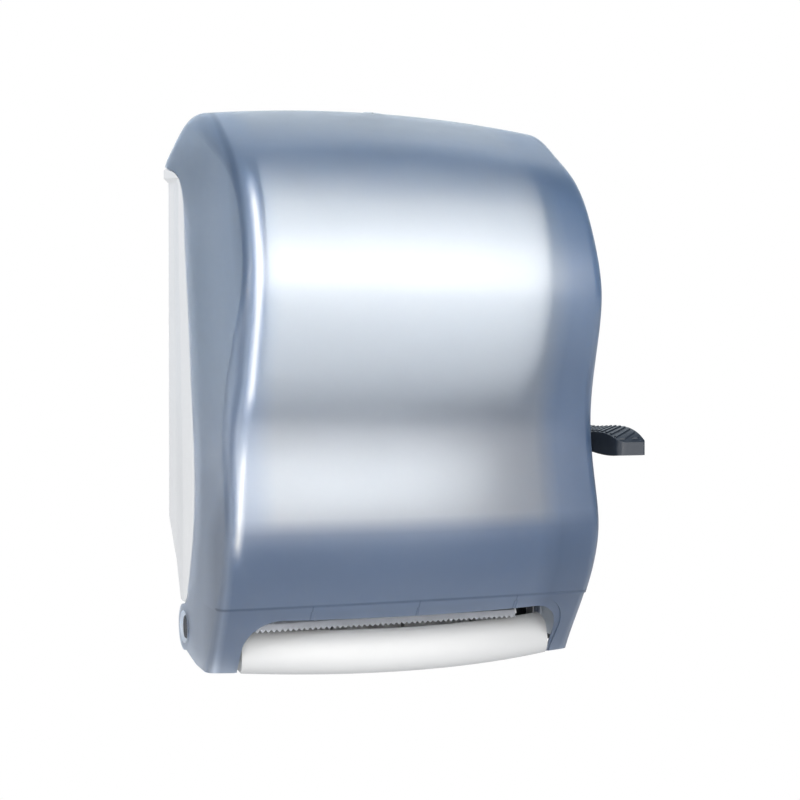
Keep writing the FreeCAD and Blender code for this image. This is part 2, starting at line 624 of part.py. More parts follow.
def tear_bar():
    """Return the folded stainless tear bar with its serrated lower edge and end tabs."""
    front = [(-depth, height) for depth, height in BAR_SECTION]
    rear = shifted(front, -BAR_SHEET)
    bar = slab(front + rear[::-1], BAR_LEFT, BAR_RIGHT)
    low = min(z for y, z in front + rear)
    pitch = 2.0 * BAR_TOOTH
    count = int((BAR_RIGHT - BAR_LEFT) / pitch)
    points = [Vector(BAR_LEFT, -BEYOND, low - 1.0)]
    for index in range(count):
        x = BAR_LEFT + index * pitch
        points.append(Vector(x + 0.02, -BEYOND, low + BAR_TOOTH))
        points.append(Vector(x + pitch / 2.0, -BEYOND, low))
    points.append(Vector(BAR_LEFT + count * pitch, -BEYOND, low + BAR_TOOTH))
    points.append(Vector(BAR_LEFT + count * pitch, -BEYOND, low - 1.0))
    teeth = Part.Face(Part.makePolygon(points + points[:1])).extrude(Vector(0, BEYOND, 0))
    bar = bar.cut(teeth)
    top_y, top_z = front[0]
    for x0, x1 in ((LEFT_INNER, BAR_LEFT + 1.0), (BAR_RIGHT - 1.0, RIGHT_INNER)):
        tab = slab([(top_y - 1.0, top_z - 2.0), (top_y + 8.0, top_z - 2.0), (top_y + 8.0, top_z + 8.0),
                    (top_y - 1.0, top_z + 8.0)], x0, x1)
        bar = bar.fuse(tab)
    return bar


def edge_guide():
    """Return the small white clip over the tear bar that keeps the towel's edge in line."""
    front = [(-depth, height) for depth, height in BAR_SECTION[:2]]
    outer = shifted(front, 1.6)
    face = [outer[0], outer[1], front[1], front[0]]
    clip = slab(face, GUIDE_X - 1.1, GUIDE_X + 1.1)
    centre = Vector(GUIDE_X, (front[0][0] + front[1][0]) / 2.0, (front[0][1] + front[1][1]) / 2.0)
    normal = Vector(0, front[1][1] - front[0][1], front[0][0] - front[1][0])
    clip.rotate(centre, normal, GUIDE_LEAN)
    return clip


def paper_guide():
    """Return the white chute behind the towel's path, with ribs down to the floor pan."""
    front = [(-122.0, 52.0), (-136.0, 44.0), (-146.0, 34.0), (-147.0, 32.0)]
    rear = shifted(front, 2.2)
    guide = slab(front + rear[::-1], LEFT_INNER + SIDE_PLAY, RIGHT_INNER - SIDE_PLAY)
    for x in (-100.0, -44.0, 12.0, 68.0):
        rib = slab([(-124.0, 50.0), (-134.0, 42.0), (-126.0, 29.0), (-118.0, PAN_TOP), (-112.0, PAN_TOP)],
                   x - 1.2, x + 1.2)
        guide = guide.fuse(rib)
    return guide.removeSplitter()


# ---------------------------------------------------------------- side plates and gear cover
def side_plate(outer_x, inward, top, bores):
    """Return one side plate with a rear flange; top lists its upper front corners."""
    x0, x1 = sorted((outer_x, outer_x + inward * PLATE))
    outline = [(-HOUSING_WALL, top[0][1])] + top + [(-157.0, 112.0), (-152.0, 60.0), (-146.0, 40.0),
                                                    (-122.0, 26.0), (-84.0, 26.0), (-40.0, 64.0),
                                                    (-HOUSING_WALL, 108.0)]
    plate = slab(outline, x0, x1)
    plate = rounded(plate, 9.0, lambda edge: along_x(edge) and edge.BoundBox.YMax < -50.0)
    f0, f1 = sorted((outer_x, outer_x - inward * PLATE_FLANGE))
    flange = box(f0, f1, -HOUSING_WALL - PLATE, -HOUSING_WALL, 118.0, 178.0)
    plate = plate.fuse(flange)
    window = slab([(-20.0, 164.0), (-44.0, 164.0), (-30.0, 112.0), (-20.0, 112.0)], x0 - 1.0, x1 + 1.0)
    plate = plate.cut(window)
    for y, z, radius in bores:
        plate = plate.cut(rod(x0 - 1.0, x1 + 1.0, y, z, radius))
    for x, y, z in BACK_SCREWS:
        plate = plate.cut(screw_hole(x, y, z))
    return plate.removeSplitter()


def gear_cover():
    """Return the black case over the sector and the pinion, open towards the side plate."""
    outline = [(-22.0, 168.0), (-60.0, 178.0), (-110.0, 178.0), (-138.0, 170.0), (-140.0, 120.0),
               (-134.0, 60.0), (-104.0, 57.0), (-58.0, 70.0), (-24.0, 78.0)]
    wall = GEAR_CASE_WALL
    case = slab(outline, RIGHT_PLATE_X, GEAR_CASE_X)
    case = rounded(case, 10.0, along_x)
    case = rounded(case, 4.0, lambda edge: edge.BoundBox.XMin > GEAR_CASE_X - 0.1)
    middle = (sum(y for y, z in outline) / len(outline), sum(z for y, z in outline) / len(outline))
    inner = slab([(y + (middle[0] - y) * 0.045, z + (middle[1] - z) * 0.045) for y, z in outline],
                 RIGHT_PLATE_X - 1.0, GEAR_CASE_X - wall)
    inner = rounded(inner, 8.0, along_x)
    case = case.cut(inner)
    case = case.fuse(ring(GEAR_CASE_X - wall, GEAR_CASE_X + 3.0, LEVER_Y, LEVER_Z, 14.0, 12.0))
    case = case.cut(rod(100.0, 140.0, LEVER_Y, LEVER_Z, LEVER_SHAFT_R + 1.0))
    case = case.fuse(rod(GEAR_X + GEAR_WIDTH + 1.0 + SIDE_PLAY, GEAR_CASE_X - 0.5, FEED_Y, FEED_Z,
                         FEED_SHAFT_R + 3.0))
    case = case.cut(rod(100.0, GEAR_CASE_X - 2.0, FEED_Y, FEED_Z, FEED_SHAFT_R + RUN))
    for y, z in CASE_SCREWS:
        post = rod(RIGHT_PLATE_X, GEAR_CASE_X - 1.0, y, z, 4.0)
        case = case.fuse(post)
    for y, z in CASE_SCREWS:
        case = case.cut(rod(RIGHT_PLATE_X - 1.0, GEAR_CASE_X + 1.0, y, z, SCREW_R))
    return case.removeSplitter()


def case_screw(y, z):
    """Return one long screw through a post of the gear cover into the side plate."""
    head = rod(GEAR_CASE_X, GEAR_CASE_X + SCREW_HEAD, y, z, SCREW_HEAD_R)
    return head.fuse(rod(RIGHT_INNER + 0.5, GEAR_CASE_X, y, z, SCREW_R))


# ---------------------------------------------------------------- gears
def tooth_flank(teeth, radius_from, radius_to, steps):
    """Return (radius, half angle) pairs up one involute flank, with backlash taken off."""
    pitch_r = GEAR_MODULE * teeth / 2.0
    pressure = math.radians(20.0)
    base_r = pitch_r * math.cos(pressure)
    backlash = 0.10
    half_pitch_angle = (math.pi * GEAR_MODULE / 2.0 - backlash) / 2.0 / pitch_r
    spread = math.tan(pressure) - pressure
    flank = []
    for step in range(steps + 1):
        radius = radius_from + (radius_to - radius_from) * step / steps
        local = math.acos(min(1.0, base_r / radius)) if radius > base_r else 0.0
        flank.append((radius, half_pitch_angle + spread - (math.tan(local) - local)))
    return flank


def gear_outline(teeth, centre, first, count, phase):
    """Return (y, z) points over a run of teeth; phase is the first tooth's angle."""
    pitch_r = GEAR_MODULE * teeth / 2.0
    flank = tooth_flank(teeth, pitch_r - 1.25 * GEAR_MODULE, pitch_r + GEAR_MODULE, 4)
    points = []
    for index in range(first, first + count):
        middle = phase + 360.0 / teeth * index
        for radius, half in flank:
            points.append(polar(centre[0], centre[1], radius, middle - math.degrees(half)))
        for radius, half in flank[::-1]:
            points.append(polar(centre[0], centre[1], radius, middle + math.degrees(half)))
    return points


def sector_gear():
    """Return the lever's toothed sector with a ribbed web and its hub."""
    centre = (LEVER_Y, LEVER_Z)
    step = 360.0 / SECTOR_TEETH
    contact = 180.0 + MESH_ANGLE
    behind = int((LEVER_STROKE + 9.0) / step)
    ahead = 2
    phase = contact + step / 2.0
    points = gear_outline(SECTOR_TEETH, centre, -behind, behind + ahead, phase)
    blank = slab(points + [centre], GEAR_X, GEAR_X + GEAR_WIDTH)
    low, high = phase - behind * step + 8.0, phase + (ahead - 1) * step - 8.0
    rim_r = GEAR_MODULE * SECTOR_TEETH / 2.0 - 8.0
    thin = [polar(*centre, 20.0, low + 12.0)]
    for index in range(9):
        thin.append(polar(*centre, rim_r, low + (high - low) * index / 8.0))
    thin.append(polar(*centre, 20.0, high - 12.0))
    pocket = slab(thin, GEAR_X + 2.5, GEAR_X + GEAR_WIDTH + 1.0)
    hub = rod(GEAR_X - 1.5, GEAR_X + GEAR_WIDTH + 2.5, *centre, 12.5)
    gear = blank.cut(pocket).fuse(hub)
    middle = (low + high) / 2.0
    rib = slab([polar(*centre, 10.0, middle - 9.0), polar(*centre, rim_r + 2.0, middle - 1.2),
                polar(*centre, rim_r + 2.0, middle + 1.2), polar(*centre, 10.0, middle + 9.0)],
               GEAR_X + 1.0, GEAR_X + GEAR_WIDTH)
    return gear.fuse(rib).cut(rod(90.0, 140.0, *centre, LEVER_SHAFT_R))


def drive_pinion():
    """Return the pinion on the feed roller's one-way clutch."""
    centre = (FEED_Y, FEED_Z)
    points = gear_outline(PINION_TEETH, centre, 0, PINION_TEETH, MESH_ANGLE)
    gear = slab(points, GEAR_X - 1.0, GEAR_X + GEAR_WIDTH + 1.0)
    return gear.cut(rod(90.0, 140.0, *centre, CLUTCH_R))


def clutch_hub():
    """Return the one-way clutch's inner hub, pressed on the shaft inside the pinion."""
    body = rod(GEAR_X - 7.0, GEAR_X + GEAR_WIDTH + 1.0, FEED_Y, FEED_Z, CLUTCH_R)
    body = body.fuse(rod(GEAR_X - 9.0, GEAR_X - 1.5, FEED_Y, FEED_Z, CLUTCH_R + 4.0))
    return body.cut(rod(90.0, 140.0, FEED_Y, FEED_Z, FEED_SHAFT_R))


# ---------------------------------------------------------------- lever
def lever_outline(lower_by):
    """Return the lever pad's side outline as a wire; its rear top is lowered by a distance."""
    top = [(-PAD_REAR, 172.0 - lower_by), (-150.0, 172.8 - lower_by), (-178.0, 169.8 - lower_by * 0.6),
           (-PAD_FRONT, 162.0)]
    low = [(-PAD_FRONT, 162.0 - PAD_THICK), (-183.0, 151.6), (-166.0, 151.8), (-PAD_REAR, 155.5)]
    return top, low


def lever_arm():
    """Return the black lever: hub, arm and a widened pad with diagonal grip ribs."""
    wires = []
    for x, drop in ((PAD_INNER_X, 4.5), (PAD_INNER_X + PAD_WIDTH, 0.0)):
        top, low = lever_outline(drop)
        ends = [Vector(x, *top[-1]), Vector(x, *low[0])]
        back = [Vector(x, *low[-1]), Vector(x, *top[0])]
        wires.append(Part.Wire([spline([Vector(x, *p) for p in top]), Part.LineSegment(*ends).toShape(),
                                spline([Vector(x, *p) for p in low]), Part.LineSegment(*back).toShape()]))
    pad = Part.makeLoft(wires, True, True)
    raised = pad.copy()
    raised.translate(Vector(0, 0, RIB_RISE))
    border = 1.6
    raised = raised.common(box(PAD_INNER_X + border, PAD_INNER_X + PAD_WIDTH - border, -PAD_FRONT + 4.0,
                               -PAD_REAR, 150.0, 190.0))
    ribs = []
    y = -PAD_FRONT - 14.0
    while y < -PAD_REAR - 14.0:
        rib = box(-5.0, 40.0, -RIB_WIDTH / 2.0, RIB_WIDTH / 2.0, 150.0, 190.0)
        rib.rotate(Vector(0, 0, 0), Vector(0, 0, 1), RIB_ANGLE)
        rib.translate(Vector(PAD_INNER_X, y, 0.0))
        ribs.append(rib)
        y += RIB_PITCH / math.cos(math.radians(RIB_ANGLE))
    ribs = raised.common(Part.makeCompound(ribs))
    upright = [edge for edge in pad.Edges
               if edge.BoundBox.YMax < -PAD_FRONT + 0.1 and edge.BoundBox.ZLength > PAD_THICK - 1.0]
    inner_corner = min(upright, key=lambda edge: edge.CenterOfMass.x)
    outer_corner = max(upright, key=lambda edge: edge.CenterOfMass.x)
    pad = pad.makeFillet(6.0, [inner_corner])
    outer_corner = min(pad.Edges, key=lambda edge: edge.CenterOfMass.sub(outer_corner.CenterOfMass).Length)
    pad = pad.makeFillet(2.0, [outer_corner])
    arm = slab([(LEVER_Y + 4.0, LEVER_Z - LEVER_HUB_R + 0.5), (LEVER_Y - 6.0, LEVER_Z + LEVER_HUB_R - 1.5),
                (-PAD_REAR - 2.0, 167.0), (-PAD_REAR - 30.0, 167.5), (-PAD_REAR - 30.0, 154.0),
                (-PAD_REAR - 2.0, 155.8)], LEVER_HUB_X + 2.0, LEVER_HUB_X + LEVER_HUB)
    hub = rod(LEVER_HUB_X, LEVER_HUB_X + LEVER_HUB, LEVER_Y, LEVER_Z, LEVER_HUB_R)
    hub = chamfered(hub, 1.5, lambda edge: edge.BoundBox.XMin > LEVER_HUB_X + LEVER_HUB - 0.1)
    lever = pad.fuse(arm).fuse(hub).fuse(ribs)
    return lever.cut(rod(LEVER_HUB_X - 1.0, LEVER_HUB_X + LEVER_HUB - 3.0, LEVER_Y, LEVER_Z,
                         LEVER_SHAFT_R)).cut(rod(140.0, 190.0, LEVER_Y, LEVER_Z, 2.5)).removeSplitter()


def coil(radius, wire_r, pitch, turns):
    """Return a coil of faceted wire along Z, from the origin, as one closed shell."""
    rings = []
    for step in range(COIL_STEPS * turns + 1):
        turn = 2.0 * math.pi * step / COIL_STEPS
        ring_points = []
        for side in range(WIRE_SIDES):
            angle = 2.0 * math.pi * side / WIRE_SIDES
            reach = radius + wire_r * math.cos(angle)
            rise = pitch * step / COIL_STEPS + wire_r * math.sin(angle)
            ring_points.append(Vector(reach * math.cos(turn), reach * math.sin(turn), rise))
        rings.append(ring_points)
    corners = []
    for low, high in zip(rings, rings[1:]):
        for side in range(WIRE_SIDES):
            after = (side + 1) % WIRE_SIDES
            corners.append((low[side], low[after], high[after]))
            corners.append((low[side], high[after], high[side]))
    corners += [rings[0], rings[-1]]
    faces = [Part.Face(Part.makePolygon(list(points) + [points[0]])) for points in corners]
    solid = Part.Solid(Part.makeShell(faces))
    if solid.Volume < 0.0:
        solid.reverse()
    return solid


def coil_along_x(x, y, z, radius, wire_r, pitch, turns):
    """Return a coil whose axis runs along X from a point."""
    spring = coil(radius, wire_r, pitch, turns)
    spring.rotate(Vector(0, 0, 0), Vector(0, 1, 0), 90.0)
    spring.translate(Vector(x, y, z))
    return spring


def bush(x0, x1, y, z, bore, outer, flange_x0, flange_x1, flange_r):
    """Return a flanged bush along X."""
    body = rod(x0, x1, y, z, outer).fuse(rod(flange_x0, flange_x1, y, z, flange_r))
    return body.cut(rod(x0 - 5.0, x1 + 5.0, y, z, bore + RUN))


# ---------------------------------------------------------------- feed roller
def feed_sleeves():
    """Return the rubber sleeves of the feed roller."""
    first = ROLL_X - SLEEVE_PITCH * (SLEEVE_COUNT - 1) / 2.0 - SLEEVE / 2.0
    return [ring(first + SLEEVE_PITCH * index, first + SLEEVE_PITCH * index + SLEEVE, FEED_Y, FEED_Z,
                 FEED_R, FEED_CORE_R) for index in range(SLEEVE_COUNT)]


def advance_wheel():
    """Return the scalloped hand wheel at the roller's left end."""
    x0 = LEFT_INNER + 2.0
    wheel = rod(x0, x0 + WHEEL_WIDTH, FEED_Y, FEED_Z, WHEEL_R)
    count = 18
    for index in range(count):
        y, z = polar(FEED_Y, FEED_Z, WHEEL_R + 1.2, 360.0 / count * index)
        wheel = wheel.cut(rod(x0 - 1.0, x0 + WHEEL_WIDTH + 1.0, y, z, 2.6))
    return wheel.cut(rod(x0 - 1.0, x0 + WHEEL_WIDTH + 1.0, FEED_Y, FEED_Z, FEED_SHAFT_R))


# ---------------------------------------------------------------- pinch roller
def pinch_arm(x0):
    """Return one end arm of the pinch frame."""
    arm = slab([(PINCH_PIVOT_Y, PINCH_PIVOT_Z - 5.0), (PINCH_PIVOT_Y, PINCH_PIVOT_Z + 5.0),
                (PINCH_Y, PINCH_Z + 5.0), (PINCH_Y, PINCH_Z - 5.0)], x0, x0 + PINCH_ARM)
    arm = arm.fuse(rod(x0, x0 + PINCH_ARM, PINCH_PIVOT_Y, PINCH_PIVOT_Z, 6.0))
    return arm.fuse(rod(x0, x0 + PINCH_ARM, PINCH_Y, PINCH_Z, 5.5))


def pinch_frame():
    """Return the pivoting frame of the pinch roller, with its rail behind the roller."""
    left, right = PINCH_LEFT - PINCH_ARM, PINCH_RIGHT
    frame = pinch_arm(left).fuse(pinch_arm(right))
    rail = slab([(-76.5, 61.0), (-73.0, 61.0), (-73.0, 46.0), (-84.0, 41.5), (-84.0, 44.5), (-76.5, 48.0)],
                left, right + PINCH_ARM)
    frame = frame.fuse(rail)
    frame = frame.cut(rod(-BEYOND, BEYOND, PINCH_PIVOT_Y, PINCH_PIVOT_Z, ARM_PIN_R + RUN))
    return frame.cut(rod(-BEYOND, BEYOND, PINCH_Y, PINCH_Z, PINCH_AXLE_R)).removeSplitter()


# ---------------------------------------------------------------- roll arms and hubs
def arm_blade(x0, root_y):
    """Return the flat blade of a roll arm, tapering from its root to the hub's axle."""
    tip = ROLL_Y
    blade = slab([(root_y, ROLL_Z - ARM_ROOT / 2.0 + 3.0), (root_y, KNUCKLE_TOP - 1.0),
                  (tip, ROLL_Z + ARM_TIP_R - 1.0), (tip, ROLL_Z - ARM_TIP_R + 1.0)], x0, x0 + ARM)
    blade = blade.fuse(rod(x0, x0 + ARM, tip, ROLL_Z, ARM_TIP_R))
    window = slab([(root_y - 14.0, ROLL_Z - 14.0), (root_y - 14.0, ROLL_Z + 8.0), (tip + 24.0, ROLL_Z + 6.0),
                   (tip + 24.0, ROLL_Z - 8.0)], x0 - 1.0, x0 + ARM + 1.0)
    return blade.cut(rounded(window, 4.0, along_x))


def roll_arm_left():
    """Return the fixed left arm, with its flange on the wall plate."""
    x1 = ROLL_LEFT - HUB_FLANGE - 2.0 * SIDE_PLAY
    x0 = x1 - ARM
    flange = box(x0, x0 + 26.0, -HOUSING_WALL - 4.0, -HOUSING_WALL, ROLL_Z - 30.0, ROLL_Z + 30.0)
    gusset = slab([(-5.0, ROLL_Z - 2.0), (-5.0, ROLL_Z + 2.0), (-40.0, ROLL_Z + 2.0), (-40.0, ROLL_Z - 2.0)],
                  x0, x0 + ARM + 2.0)
    arm = arm_blade(x0, -HOUSING_WALL - 2.0).fuse(flange).fuse(gusset)
    arm = arm.fuse(rod(x1 - 1.0, x1 + SIDE_PLAY + HUB_FLANGE + HUB_PLUG - 1.0, ROLL_Y, ROLL_Z, AXLE_R))
    for x, y, z in BACK_SCREWS:
        arm = arm.cut(screw_hole(x, y, z))
    return arm.removeSplitter()


def roll_arm_right():
    """Return the sprung right arm, with its knuckle on the upright pin."""
    x0 = ROLL_RIGHT + HUB_FLANGE + 2.0 * SIDE_PLAY
    knuckle = Part.makeCylinder(KNUCKLE_R, KNUCKLE_TOP - ARM_LOW, Vector(ARM_X, ARM_PIN_Y, ARM_LOW))
    arm = arm_blade(x0, ARM_PIN_Y - 2.0).fuse(knuckle)
    arm = arm.fuse(rod(x0 - SIDE_PLAY - HUB_FLANGE - HUB_PLUG + 1.0, x0 + 1.0, ROLL_Y, ROLL_Z, AXLE_R))
    return arm.cut(Part.makeCylinder(ARM_PIN_R + RUN, 100.0, Vector(ARM_X, ARM_PIN_Y, 240.0))).removeSplitter()


def core_hub(flange_x, inward):
    """Return a hub for the roll's core: a flange and a tapered, ribbed plug."""
    hub = Part.makeCylinder(HUB_FLANGE_R, HUB_FLANGE, Vector(flange_x, ROLL_Y, ROLL_Z), Vector(inward, 0, 0))
    start = Vector(flange_x + inward * HUB_FLANGE, ROLL_Y, ROLL_Z)
    plug = Part.makeCone(PLUG_R - 0.8, PLUG_R - 3.8, HUB_PLUG, start, Vector(inward, 0, 0))
    hub = hub.fuse(plug)
    middle = flange_x + inward * (HUB_FLANGE + HUB_PLUG / 2.0)
    for index in range(6):
        rib = box(middle - HUB_PLUG / 2.0, middle + HUB_PLUG / 2.0, ROLL_Y - 1.0, ROLL_Y + 1.0,
                  ROLL_Z + 8.0, ROLL_Z + PLUG_R)
        rib.rotate(Vector(0, ROLL_Y, ROLL_Z), Vector(1, 0, 0), 60.0 * index)
        hub = hub.fuse(rib)
    return hub.cut(rod(-BEYOND, BEYOND, ROLL_Y, ROLL_Z, AXLE_R + RUN)).removeSplitter()


def towel_roll():
    """Return the wound towels as a thick tube around the core."""
    return ring(ROLL_LEFT, ROLL_RIGHT - SIDE_PLAY, ROLL_Y, ROLL_Z, ROLL_R, CORE_R + CORE_CARD)


def roll_core():
    """Return the cardboard core of the roll."""
    return ring(ROLL_LEFT, ROLL_RIGHT - SIDE_PLAY, ROLL_Y, ROLL_Z, CORE_R + CORE_CARD, CORE_R)


def stub_cradle():
    """Return the trough that holds the last of a roll, with its cheeks and rear flange."""
    left, right = LEFT_INNER + CRADLE_PLAY, RIGHT_INNER - CRADLE_PLAY
    inner, outer = STUB_R + 2.0, STUB_R + 4.5
    angles = [-120.0 + 10.0 * index for index in range(11)]
    trough = slab([polar(STUB_Y, STUB_Z, inner, a) for a in angles]
                  + [polar(STUB_Y, STUB_Z, outer, a) for a in angles[::-1]], left, right)
    cheek = [polar(STUB_Y, STUB_Z, outer, a) for a in angles] + [polar(STUB_Y, STUB_Z, 24.0, -20.0),
                                                                polar(STUB_Y, STUB_Z, 24.0, -120.0)]
    for x in (left, right - 2.5):
        trough = trough.fuse(slab(cheek, x, x + 2.5))
    rear = polar(STUB_Y, STUB_Z, outer, -20.0)
    flange = box(left, right, -HOUSING_WALL - 3.0, -HOUSING_WALL, rear[1] - 6.0, rear[1] + 26.0)
    trough = trough.fuse(flange)
    middle = (left + right) / 2.0
    for x in (left + 20.0, middle, right - 20.0):
        trough = trough.fuse(slab([polar(STUB_Y, STUB_Z, inner + 1.0, -35.0), (-4.0, 96.0 + 14.0),
                                   (-4.0, 99.0), polar(STUB_Y, STUB_Z, inner + 1.0, -62.0)], x - 1.2, x + 1.2))
    for slot in fixing_slots():
        trough = trough.cut(slot)
    for x, y, z in BACK_SCREWS:
        trough = trough.cut(screw_hole(x, y, z))
    return trough.removeSplitter()


# ---------------------------------------------------------------- fasteners
def pan_screw(x):
    """Return a screw that holds the chin's pan down on the housing's floor."""
    head = Part.makeCylinder(SCREW_HEAD_R, SCREW_HEAD, Vector(x, PAN_SCREWS_Y, PAN_TOP))
    shank = Part.makeCylinder(SCREW_R, PAN_TOP - PAN_HEIGHT - 0.5, Vector(x, PAN_SCREWS_Y, PAN_HEIGHT + 0.5))
    return head.fuse(shank)


def group(shapes):
    """Return separate solids that share one node."""
    return Part.makeCompound(shapes)


# ---------------------------------------------------------------- build
os.makedirs("parts", exist_ok=True)
FORM = outer_form(0.0)
UPRIGHT = Part.makeLine(Vector(0.0, LOCK_Y, FIXING_HEIGHT), Vector(0.0, LOCK_Y, ABOVE))
LOCK_Z = FORM.common(UPRIGHT).BoundBox.ZMax
INNER_FORM = outer_form(COVER_WALL)
LIP_FORM = outer_form(COVER_WALL + LIP_GAP)

save("front_cover", front_cover(FORM, outer_form(STEP_DEPTH), outer_form(STEP_DEPTH + FLANGE_DEPTH), INNER_FORM))
save("lock_barrel", lock_barrel())
save("lock_cam", lock_cam())
save("lock_keeper", lock_keeper())
save("back_housing", back_housing(LIP_FORM, outer_form(COVER_WALL + LIP_GAP + LIP_WALL)))
save("hinge_pin_right", hinge_pin())
save("hinge_pin_left", mirrored(hinge_pin()))
save("front_chin", front_chin())
save("tear_bar", tear_bar())
save("edge_guide", edge_guide())
save("paper_guide", paper_guide())

LEFT_TOP = [(-74.0, 178.0), (-112.0, 142.0), (-148.0, 130.0)]
RIGHT_TOP = [(-112.0, 181.0), (-142.0, 173.0), (-144.0, 130.0)]
FEED_BORE = (FEED_Y, FEED_Z, FEED_BUSH_R)
PIVOT_BORE = (PINCH_PIVOT_Y, PINCH_PIVOT_Z, ARM_PIN_R)
LEVER_BORE = (LEVER_Y, LEVER_Z, LEVER_SHAFT_R + 2.5)
SCREW_BORES = [(y, z, SCREW_R) for y, z in CASE_SCREWS]
save("side_plate_left", side_plate(LEFT_PLATE_X, 1.0, LEFT_TOP, [FEED_BORE, PIVOT_BORE]))
save("side_plate_right", side_plate(RIGHT_PLATE_X, -1.0, RIGHT_TOP,
                                    [FEED_BORE, PIVOT_BORE, LEVER_BORE] + SCREW_BORES))
save("gear_cover", gear_cover())
save("sector_gear", sector_gear())
save("drive_pinion", drive_pinion())
save("clutch_hub", clutch_hub())

save("lever_arm", lever_arm())
SHAFT_START = RIGHT_INNER - 2.0
SHAFT_END = LEVER_HUB_X + LEVER_HUB - 3.0
save("lever_shaft", rod(SHAFT_START, SHAFT_END, LEVER_Y, LEVER_Z, LEVER_SHAFT_R)
     .cut(rod(SHAFT_END - 12.0, SHAFT_END + 1.0, LEVER_Y, LEVER_Z, 2.5)))
LEVER_FACE = LEVER_HUB_X + LEVER_HUB
save("lever_screw", chamfered(rod(LEVER_FACE, LEVER_FACE + 2.5, LEVER_Y, LEVER_Z, 5.0), 1.0,
                              lambda edge: edge.BoundBox.XMin > LEVER_FACE + 2.4)
     .fuse(rod(SHAFT_END - 11.0, LEVER_FACE, LEVER_Y, LEVER_Z, 2.5)))
save("lever_bush_outer", bush(136.0, HOUSING_HALF, LEVER_Y, LEVER_Z, LEVER_SHAFT_R, BUSH_R,
                              HOUSING_HALF, HOUSING_HALF + BUSH_FLANGE, BUSH_R + 3.0))
save("lever_bush_inner", bush(RIGHT_INNER, RIGHT_PLATE_X + 1.7, LEVER_Y, LEVER_Z, LEVER_SHAFT_R,
                              LEVER_SHAFT_R + 2.5, RIGHT_PLATE_X, RIGHT_PLATE_X + 1.7, LEVER_SHAFT_R + 4.5))
save("return_spring", coil_along_x(RIGHT_PLATE_X + 3.5, LEVER_Y, LEVER_Z, 9.5, 1.0, 2.2, 4))
STOP_Y, STOP_Z = polar(LEVER_Y, LEVER_Z, 60.0, 171.5)
save("lever_stop", rod(GEAR_X, GEAR_CASE_X - GEAR_CASE_WALL, STOP_Y, STOP_Z, 5.0))

save("feed_shaft", rod(LEFT_PLATE_X - 3.0, GEAR_CASE_X - 2.3, FEED_Y, FEED_Z, FEED_SHAFT_R))
save("feed_core", ring(LEFT_INNER + 8.5, RIGHT_INNER - 3.0, FEED_Y, FEED_Z, FEED_CORE_R, FEED_SHAFT_R))
save("feed_sleeves", group(feed_sleeves()))
save("advance_wheel", advance_wheel())
save("feed_bush_left", bush(LEFT_PLATE_X - 1.5, LEFT_INNER, FEED_Y, FEED_Z, FEED_SHAFT_R, FEED_BUSH_R,
                            LEFT_INNER, LEFT_INNER + 1.5, FEED_BUSH_R + 2.0))
save("feed_bush_right", bush(RIGHT_INNER, RIGHT_PLATE_X + 1.5, FEED_Y, FEED_Z, FEED_SHAFT_R, FEED_BUSH_R,
                             RIGHT_INNER - 1.7, RIGHT_INNER, FEED_BUSH_R + 2.0))

save("pinch_frame", pinch_frame())
save("pinch_axle", rod(PINCH_LEFT - PINCH_ARM, PINCH_RIGHT + PINCH_ARM, PINCH_Y, PINCH_Z, PINCH_AXLE_R))
save("pinch_roller", ring(PINCH_LEFT + SIDE_PLAY, PINCH_RIGHT - SIDE_PLAY, PINCH_Y, PINCH_Z, PINCH_R,
                          PINCH_AXLE_R + RUN))
save("pinch_pins", group([rod(LEFT_PLATE_X, PINCH_LEFT, PINCH_PIVOT_Y, PINCH_PIVOT_Z, ARM_PIN_R),
                          rod(PINCH_RIGHT, RIGHT_PLATE_X, PINCH_PIVOT_Y, PINCH_PIVOT_Z, ARM_PIN_R)]))
save("pinch_springs", group([coil_along_x(x, PINCH_PIVOT_Y, PINCH_PIVOT_Z, 4.2, 0.6, 1.4, 3)
                             for x in (LEFT_INNER + 1.2, PINCH_RIGHT + PINCH_ARM + 1.4)]))

save("roll_arm_left", roll_arm_left())
save("roll_arm_right", roll_arm_right())
save("core_hub_left", core_hub(ROLL_LEFT - HUB_FLANGE, 1.0))
save("core_hub_right", core_hub(ROLL_RIGHT + HUB_FLANGE, -1.0))
save("towel_roll", towel_roll())
save("roll_core", roll_core())
save("arm_pin", Part.makeCylinder(ARM_PIN_R, EARS_Z[1][1] - EARS_Z[0][0] + 3.0,
                                  Vector(ARM_X, ARM_PIN_Y, EARS_Z[0][0] - 1.5)))
ARM_SPRING = coil(4.2, 0.6, 1.7, 5)
ARM_SPRING.translate(Vector(ARM_X, ARM_PIN_Y, KNUCKLE_TOP + 1.0))
save("arm_spring", ARM_SPRING)
save("stub_cradle", stub_cradle())

save("chassis_screws", group([screw(x, y, z) for x, y, z in BACK_SCREWS]))
save("case_screws", group([case_screw(y, z) for y, z in CASE_SCREWS]))
save("pan_screws", group([pan_screw(x) for x in PAN_SCREWS_X]))
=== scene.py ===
"""Finishes, fine parts and studio for a wall-mounted lever dispenser for roll towels."""

import json
import math

import bpy
from bpy.props import FloatProperty, FloatVectorProperty, IntProperty, PointerProperty
from mathutils import Matrix, Vector


